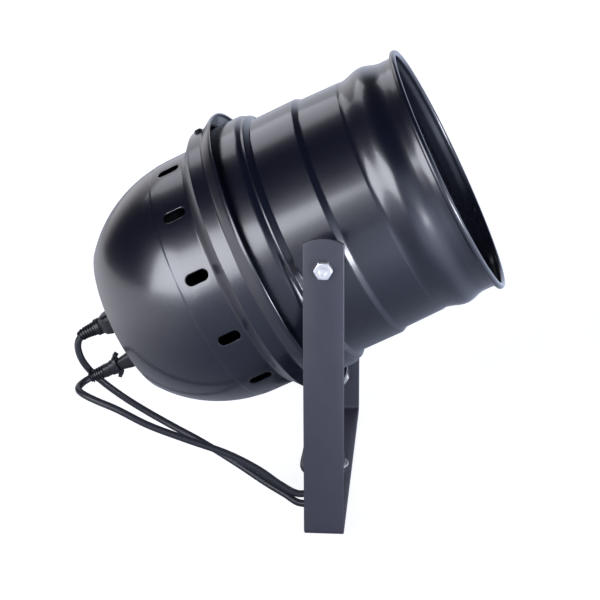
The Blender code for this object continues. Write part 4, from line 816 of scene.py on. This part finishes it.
def make_yoke():
    """Fold, trim, drill and soften the strip."""
    outside = BEND_INSIDE + STRIP_THICKNESS
    bend = ARM_OUTER - outside
    inner = ARM_OUTER - STRIP_THICKNESS
    top = PIVOT.z + ARM_TOP_RISE + STRIP_THICKNESS
    outline = [(-ARM_OUTER, top)]
    outline += arc((-bend, outside), outside, 180, 270, 10)
    outline += arc((bend, outside), outside, 270, 360, 10)
    outline += [(ARM_OUTER, top), (inner, top)]
    outline += arc((bend, outside), BEND_INSIDE, 0, -90, 10)
    outline += arc((-bend, outside), BEND_INSIDE, -90, -180, 10)
    outline += [(-inner, top)]
    across = Matrix.Rotation(math.pi / 2, 4, "Z") @ Matrix.Rotation(math.pi / 2, 4, "X")
    yoke = prism("yoke_bar", outline, STRIP_WIDTH, across)

    half = math.degrees(math.asin(STRIP_WIDTH / 2 / ARM_TOP_RADIUS))
    crown = arc((0, PIVOT.z + ARM_TOP_RISE - ARM_TOP_RADIUS), ARM_TOP_RADIUS, 90 - half, 90 + half, 24)
    side = [(-STRIP_WIDTH, -STRIP_WIDTH), (STRIP_WIDTH, -STRIP_WIDTH), (STRIP_WIDTH, crown[0][1]),
            *crown, (-STRIP_WIDTH, crown[-1][1])]
    upright = Matrix.Rotation(math.pi / 2, 4, "X")
    carve(yoke, prism("arm_tops", side, 3 * ARM_OUTER, upright), "INTERSECT")

    soften(yoke, YOKE_EDGE, segments=3, angle=40)
    carve(yoke, rod("pivot_drill", BOLT_HOLE, 3 * ARM_OUTER,
                    Matrix.Translation(PIVOT) @ upright))
    carve(yoke, rod("clamp_drill", CLAMP_HOLE, 4 * STRIP_THICKNESS, Matrix.Identity(4)))
    place = Vector((ARM_BOLT[0], ARM_OUTER - STRIP_THICKNESS / 2, ARM_BOLT[1]))
    return carve(yoke, rod("arm_drill", BOLT_HOLE, 4 * STRIP_THICKNESS,
                           Matrix.Translation(place) @ upright))


yoke = make_yoke()
dress(yoke, "yoke_paint", "yoke", ("yoke",))
print("yoke:", len(yoke.data.polygons), "faces")

# %% [markdown]
# Bolts and nuts are hexagons whose corners are turned off by a shallow cone, as on all rolled
# fasteners. The cone is a lathe shape, and the hexagon is what it has in common with it.

# %% Bolts, nuts and washers
PIVOT_FLATS = 0.013
HEX_TURN = 30
HEAD_HEIGHT = 0.0053
BOLT_RADIUS = 0.0039
THREAD_PITCH = 0.00125
THREAD_LENGTH = 0.012
THREAD_DEPTH = 0.0006
BUSH_RADIUS = 0.010
WASHER_RADIUS = 0.008
RING_BORE = 0.00425
RING_EDGE = 0.0002
CLAMP_WASHER_RADIUS = 0.013
CLAMP_NUT_FLATS = 0.019
CLAMP_NUT_BORE = 0.006
CHAMFER_SHARE = 0.47
CHAMFER_ANGLE = 30
GAP = 0.0003
ZINC_EDGE = 0.00025
DISH_RADIUS = 0.0034
DISH_SLOPE = 0.0004
DISH_DEPTH = 0.0006


def along_y(x, y, z, side, turn=0.0):
    """A frame with its Z along +Y or -Y, turned about it."""
    facing = Matrix.Rotation(-side * math.pi / 2, 4, "X")
    return Matrix.Translation((x, y, z)) @ facing @ Matrix.Rotation(math.radians(turn), 4, "Z")


def hexagon(name, flats, height, matrix, both_ends=False):
    """A hexagon from height 0 up, its corners turned off at the top, or at both ends."""
    corner = flats / math.sqrt(3)
    obj = rod(name, corner, height, Matrix.Translation((0, 0, height / 2)), sides=6)
    flat, past = CHAMFER_SHARE * flats, corner * 1.001
    drop = (corner - flat) * math.tan(math.radians(CHAMFER_ANGLE))
    low = [(0, 0), (0, flat), (drop, past)] if both_ends else [(0, 0), (0, past)]
    cone = low + [(height - drop, past), (height, flat), (height, 0)]
    carve(obj, object_of(f"{name}_cone", lathe(cone, 72)), "INTERSECT")
    obj.data.transform(matrix)
    return obj


def hex_bolt(name, side, shank_end, body, node):
    """A bolt along Y through an arm, with a shallow dish in its head and a thread at its end."""
    x, z = (PIVOT.x, PIVOT.z) if body == "can" else ARM_BOLT
    seat = ARM_OUTER + GAP
    matrix = along_y(x, side * seat, z, side, HEX_TURN)
    bolt = hexagon(name, PIVOT_FLATS, HEAD_HEIGHT, matrix)
    carve(bolt, rod(f"{name}_dish", DISH_RADIUS - 2 * DISH_SLOPE, 2 * DISH_DEPTH,
                    matrix @ Matrix.Translation((0, 0, HEAD_HEIGHT)), end_radius=DISH_RADIUS + DISH_SLOPE))
    soften(bolt, ZINC_EDGE, angle=25)
    end = shank_end - seat
    thread = [(HEAD_HEIGHT / 2, 0), (HEAD_HEIGHT / 2, BOLT_RADIUS)]
    for k in range(int(THREAD_LENGTH / THREAD_PITCH)):
        low = end + 2 * THREAD_DEPTH + k * THREAD_PITCH
        thread[2:2] = [(low + THREAD_PITCH * 0.75, BOLT_RADIUS),
                       (low + THREAD_PITCH * 0.25, BOLT_RADIUS - THREAD_DEPTH)]
    thread += [(end + THREAD_DEPTH, BOLT_RADIUS - 0.0002), (end, BOLT_RADIUS - 0.0008), (end, 0)]
    carve(bolt, object_of(f"{name}_shank", lathe(thread, 40), matrix), "UNION")
    return dress(bolt, "zinc", body, (node,))


def hex_nut(name, flats, height, bore, matrix, finish, body, node):
    """A nut from height 0 up, with its bore."""
    nut = hexagon(name, flats, height, matrix, both_ends=True)
    through = matrix @ Matrix.Translation((0, 0, height / 2))
    carve(nut, rod(f"{name}_drill", bore, 2 * height, through, sides=40))
    soften(nut, ZINC_EDGE, segments=1, angle=35)
    return dress(nut, finish, body, (node,))


def ring(name, outer, inner, low, high, matrix, body, node):
    """A zinc washer or bush: a plain ring with softened edges."""
    profile = [(low, inner), (low, outer - RING_EDGE), (low + RING_EDGE, outer),
               (high - RING_EDGE, outer), (high, outer - RING_EDGE), (high, inner)]
    obj = object_of(name, lathe(profile, 64, closed=True), matrix)
    return dress(obj, "zinc", body, (node,))


def reach_of(node, axis):
    """How near to the frame's middle plane and how far from it a node lies."""
    return sorted(abs(corner[axis]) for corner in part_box(node))


def make_pivots():
    """Bolt, bush, washer and nut on both sides of the can."""
    for side, name in ((-1, "near"), (1, "far")):
        node = f"pivot_bolt_{name}"
        hex_bolt(f"bolt_{name}", side, reach_of(node, 1)[0], "can", node)
        for part, radius in (("bush", BUSH_RADIUS), ("washer", WASHER_RADIUS)):
            node = f"pivot_{part}_{name}"
            ring(f"{part}_{name}", radius, RING_BORE, *reach_of(node, 1),
                 along_y(0, 0, PIVOT.z, side), "can", node)
        node = f"pivot_nut_{name}"
        low, high = reach_of(node, 1)
        hex_nut(f"nut_{name}", PIVOT_FLATS, high - low, BOLT_RADIUS + GAP,
                along_y(0, side * low, PIVOT.z, side, HEX_TURN), "zinc", "can", node)


def make_yoke_hardware():
    """The clamp's nut and washer on the crossbar, and the bolt near the far arm's foot."""
    ring("crossbar_washer", CLAMP_WASHER_RADIUS, CLAMP_HOLE, *reach_of("clamp_washer", 2),
         Matrix.Identity(4), "yoke", "clamp_washer")
    low, high = reach_of("clamp_nut", 2)
    hex_nut("crossbar_nut", CLAMP_NUT_FLATS, high - low, CLAMP_NUT_BORE,
            Matrix.Translation((0, 0, low)), "black_oxide", "yoke", "clamp_nut")
    hex_bolt("foot_bolt", 1, reach_of("arm_bolt", 1)[0], "yoke", "arm_bolt")
    low, high = reach_of("arm_nut", 1)
    hex_nut("foot_nut", PIVOT_FLATS, high - low, BOLT_RADIUS + GAP,
            along_y(ARM_BOLT[0], low, ARM_BOLT[1], 1, HEX_TURN), "zinc", "yoke", "arm_nut")


make_pivots()
make_yoke_hardware()

# %% [markdown]
# Inside the mouth sits the lamp: a board with nineteen moulded lens cups behind a clear plate. Each
# cup is a small turned dish of clear resin over the light's yellow phosphor, and both are turned
# again at each place of a hexagonal pattern.

# %% The lamp's lenses
LED_PITCH = 0.034
LED_ROWS = 2
LENS_SPACE = 0.0080
BOARD = ((-0.0016, 0), (-0.0016, 0.0940), (0, 0.0940), (0, 0))
CHIP = ((-0.0004, 0), (-0.0004, 0.0030), (0.0014, 0.0030), (0.0016, 0))
CUP = ((-0.0002, 0), (0.0000, 0.0080), (0.0012, 0.0086), (0.0072, 0.0118), (0.0080, 0.0120),
       (0.0080, 0.0112), (0.0050, 0.0090), (0.0034, 0.0060), (0.0040, 0.0036), (0.0048, 0.0018),
       (0.0050, 0.0000))


def led_places():
    """The middle and two rings of a hexagonal pattern, as (x, y)."""
    places = []
    for row in range(-LED_ROWS, LED_ROWS + 1):
        count = 2 * LED_ROWS + 1 - abs(row)
        for k in range(count):
            places.append(((k - (count - 1) / 2) * LED_PITCH, row * LED_PITCH * math.sqrt(3) / 2))
    return places


def repeated(name, profile, finish, steps):
    """One turned shape, repeated at every light's place on the board."""
    whole = bmesh.new()
    for x, y in led_places():
        one = lathe(profile, steps)
        bmesh.ops.translate(one, vec=(x, y, 0), verts=one.verts)
        mesh = bpy.data.meshes.new("one")
        one.to_mesh(mesh)
        one.free()
        whole.from_mesh(mesh)
        bpy.data.meshes.remove(mesh)
    return dress(object_of(name, whole, CAN), finish, "can")


def make_lamp():
    """The board's plate, its chips and its lens cups, placed by the plain node's front."""
    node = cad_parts["led_board"]
    to_can = CAN.inverted() @ node.matrix_world
    front = max((to_can @ vert.co).z for vert in node.data.vertices) - LENS_SPACE
    board, chip, cup = ([(front + rise, radius) for rise, radius in profile]
                        for profile in (BOARD, CHIP, CUP))
    plate = object_of("board_plate", lathe(board, 128), CAN)
    dress(plate, "white_board", "can", ("led_board",))
    repeated("light_chips", chip, "phosphor", steps=16)
    repeated("lens_cups", cup, "lens_resin", steps=32)


make_lamp()
print("lights:", len(led_places()))

# %% [markdown]
# The connectors and their strain reliefs are drawn as rings along a path, each ring a rounded
# rectangle or circle, and joined by extruding one ring to the next. The path runs straight out of
# the end disc and then follows the lead, so that the ribbed boots bend with it.

# %% Connectors and boots
SOCKETS_REAR = -0.1964
CONNECTOR_FRONT = SOCKETS_REAR - GAP
PATH_STEP = 0.002
LEAD_POINTS = 12
RING_POINTS = 48
MOULDED_SHARP = 32
RIB_PITCH = 0.0023
RIB_DEPTH = 0.0011
RIB = ((0.04, 0), (0.46, 0), (0.54, RIB_DEPTH), (0.92, RIB_DEPTH))
MAINS_BOOT = (0.0210, 0.0376, 0.0062, 0.0046)
DATA_BOOT = (0.0335, 0.0478, 0.0056, 0.0050)

# Sections read (distance, half across, half height, power): 2 is an ellipse, 5 nearly a rectangle.
MAINS_SECTIONS = (
    (0, 0.0129, 0.0084, 5), (0.0006, 0.0135, 0.0090, 5), (0.0070, 0.0135, 0.0090, 5),
    (0.0120, 0.0108, 0.00837, 4), (0.0155, 0.0066, 0.0066, 2.4), (0.0161, 0.0066, 0.0066, 2),
    (0.0163, 0.0073, 0.0073, 2), (0.0202, 0.0073, 0.0073, 2), (0.0204, 0.0066, 0.0066, 2),
)
DATA_SECTIONS = (
    (0, 0.0054, 0.0062, 5), (0.0004, 0.0058, 0.0066, 5), (0.0080, 0.0058, 0.0066, 5),
    (0.0191, 0.0042, 0.0047, 4), (0.0192, 0.0066, 0.0084, 3.4), (0.0217, 0.0066, 0.0084, 3.4),
    (0.0218, 0.0062, 0.0066, 3), (0.0265, 0.0059, 0.0062, 3), (0.0270, 0.0051, 0.0054, 3),
    (0.0325, 0.0058, 0.0058, 2.4), (0.0332, 0.0054, 0.0054, 2),
)

# Blocks read their size, and a place is (distance, aside, rise, lean in degrees) on its connector.
GROOVE = (0.0008, 0.0016, 0.0110)
GROOVE_PLACES = [(0.0090, -0.0135, 0.0034 * step, 0) for step in range(-2, 3)]
COLLAR_CORNER = (0.0036, 0.0090, 0.0030)
CORNER_PLACE = (0.0215, 0, -0.0080, 38)
LATCH_TAB = (0.0042, 0.0060, 0.0030)
LATCH_EDGE = 0.0008
LATCH_POCKET = (0.0068, 0.0068, 0.0044)
LATCH_PLACE = (0.0178, 0, 0.0090, -28)


def outward_path(rise, boot_end, path):
    """Points from the connector's front straight out to the boot's end, then along the lead."""
    straight = np.arange(CONNECTOR_FRONT, boot_end, -PATH_STEP)
    return [tuple(in_can(place, CONNECTOR_Y, rise)) for place in straight] + path[:LEAD_POINTS]


def ring_at(points, distance, across, height, power):
    """A ring of points round the path at a distance from its start: a superellipse."""
    points = np.array(points)
    run = np.concatenate([[0], np.cumsum(np.linalg.norm(np.diff(points, axis=0), axis=1))])

    def at(mark):
        return Vector([float(np.interp(mark, run, points[:, axis])) for axis in range(3)])

    heading = (at(distance + PATH_STEP / 2) - at(max(distance - PATH_STEP / 2, 0))).normalized()
    side = Vector((0, 1, 0))
    side = (side - heading * side.dot(heading)).normalized()
    up = side.cross(heading)
    ring_points = []
    for angle in np.linspace(0, 2 * math.pi, RING_POINTS, endpoint=False):
        c, s = math.cos(angle), math.sin(angle)
        reach = (abs(c) ** power + abs(s) ** power) ** (-1 / power)
        ring_points.append(at(distance) + side * (across * reach * c) + up * (height * reach * s))
    return ring_points


def sleeve(name, points, sections):
    """A closed solid through rings of (distance, half across, half height, power)."""
    shape = bmesh.new()
    verts = [shape.verts.new(place) for place in ring_at(points, *sections[0])]
    shape.faces.new(verts)
    for section in sections[1:]:
        edges = [shape.edges.get(pair) for pair in zip(verts, verts[1:] + verts[:1])]
        made = bmesh.ops.extrude_edge_only(shape, edges=edges)["geom"]
        order = {}
        for vert in (item for item in made if isinstance(item, bmesh.types.BMVert)):
            old = next(edge.other_vert(vert) for edge in vert.link_edges if edge.other_vert(vert) in verts)
            order[verts.index(old)] = vert
        verts = [order[i] for i in range(RING_POINTS)]
        for vert, place in zip(verts, ring_at(points, *section)):
            vert.co = place
    shape.faces.new(verts)
    bmesh.ops.recalc_face_normals(shape, faces=shape.faces)
    return object_of(name, shape)


def ribs(start, end, first, last):
    """Sections of a ribbed strain relief that narrows from the first radius to the last."""
    count = round((end - start) / RIB_PITCH)
    pitch = (end - start) / count
    sections = [(start, first, first, 2)]
    for k in range(count):
        radius = first + (last - first) * (k + 0.5) / count
        for share, depth in RIB:
            sections.append((start + (k + share) * pitch, radius - depth, radius - depth, 2))
    sections.append((end, last - RIB_DEPTH, last - RIB_DEPTH, 2))
    return sections


def on_connector(name, size, place, rise):
    """A block at a place on the connector that sits at this rise."""
    distance, aside, up, lean = place
    middle = in_can(CONNECTOR_FRONT - distance, CONNECTOR_Y + aside, rise + up)
    turned = CAN_TURN @ Matrix.Rotation(math.radians(lean), 4, "Y")
    return block(name, size, Matrix.Translation(middle) @ turned)


def moulded(obj, node):
    """Dress a moulded piece that rides on the can."""
    return dress(obj, "moulding", "can", (node,), sharp=MOULDED_SHARP)


def make_mains_connector():
    """A moulded body that narrows to a ring, and a ribbed boot."""
    path = outward_path(MAINS_RISE, MAINS_BOOT_END, mains_path)
    body = sleeve("mains_body", path, MAINS_SECTIONS)
    for place in GROOVE_PLACES:
        carve(body, on_connector("groove", GROOVE, place, MAINS_RISE))
    boot = sleeve("mains_boot", path, ribs(*MAINS_BOOT))
    return moulded(body, "power_connector"), moulded(boot, "power_boot")


def make_data_connector():
    """A flat body, a collar with a pointed corner, a faceted sleeve, a ribbed boot and a latch tab."""
    path = outward_path(DATA_RISE, DATA_BOOT_END, data_path)
    body = sleeve("data_body", path, DATA_SECTIONS)
    carve(body, on_connector("corner", COLLAR_CORNER, CORNER_PLACE, DATA_RISE), "UNION")
    carve(body, on_connector("latch_pocket", LATCH_POCKET, LATCH_PLACE, DATA_RISE))
    boot = sleeve("data_lead_boot", path, ribs(*DATA_BOOT))
    tab = soften(on_connector("latch_tab", LATCH_TAB, LATCH_PLACE, DATA_RISE), LATCH_EDGE, segments=3)
    return (moulded(body, "data_connector"), moulded(boot, "data_boot"),
            dress(tab, "moulding", "latch", ("data_latch",)))


connectors = [*make_mains_connector(), *make_data_connector()]
print("connectors:", [obj.name for obj in connectors])

# %% [markdown]
# What is left of the plain nodes keeps its shape and gets a finish of its own.

# %% Finishes of the kept nodes
NODE_FINISH = {
    "aluminium": ("led_carrier", "heat_sink", "power_supply"),
    "steel": ("retaining_ring", "chassis_bracket"),
    "brass": ("board_standoff_1", "board_standoff_2", "board_standoff_3", "board_standoff_4"),
    "black_oxide": ("bracket_screw_1", "bracket_screw_2", "casing_screw_top", "casing_screw_bottom"),
    "zinc": ("casing_spacer_top", "casing_nut_top", "casing_spacer_bottom", "casing_nut_bottom"),
    "cable_sheath": ("supply_lead", "signal_lead", "board_lead"),
    "moulding": ("lens_bezel", "power_inlet", "data_socket", "mains_tie", "mains_plug", "data_tie",
                 "data_plug"),
    "clear_lens": ("lens_plate",),
    "circuit_board": ("control_board",),
}

for finish, names in NODE_FINISH.items():
    for name in names:
        paint(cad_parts[name], finish)

# %% [markdown]
# Each lead's real length is measured along its path where it is made. Last, the view is set to Standard.

# %% The view
bpy.context.scene.view_settings.view_transform = "Standard"
bpy.context.view_layer.update()
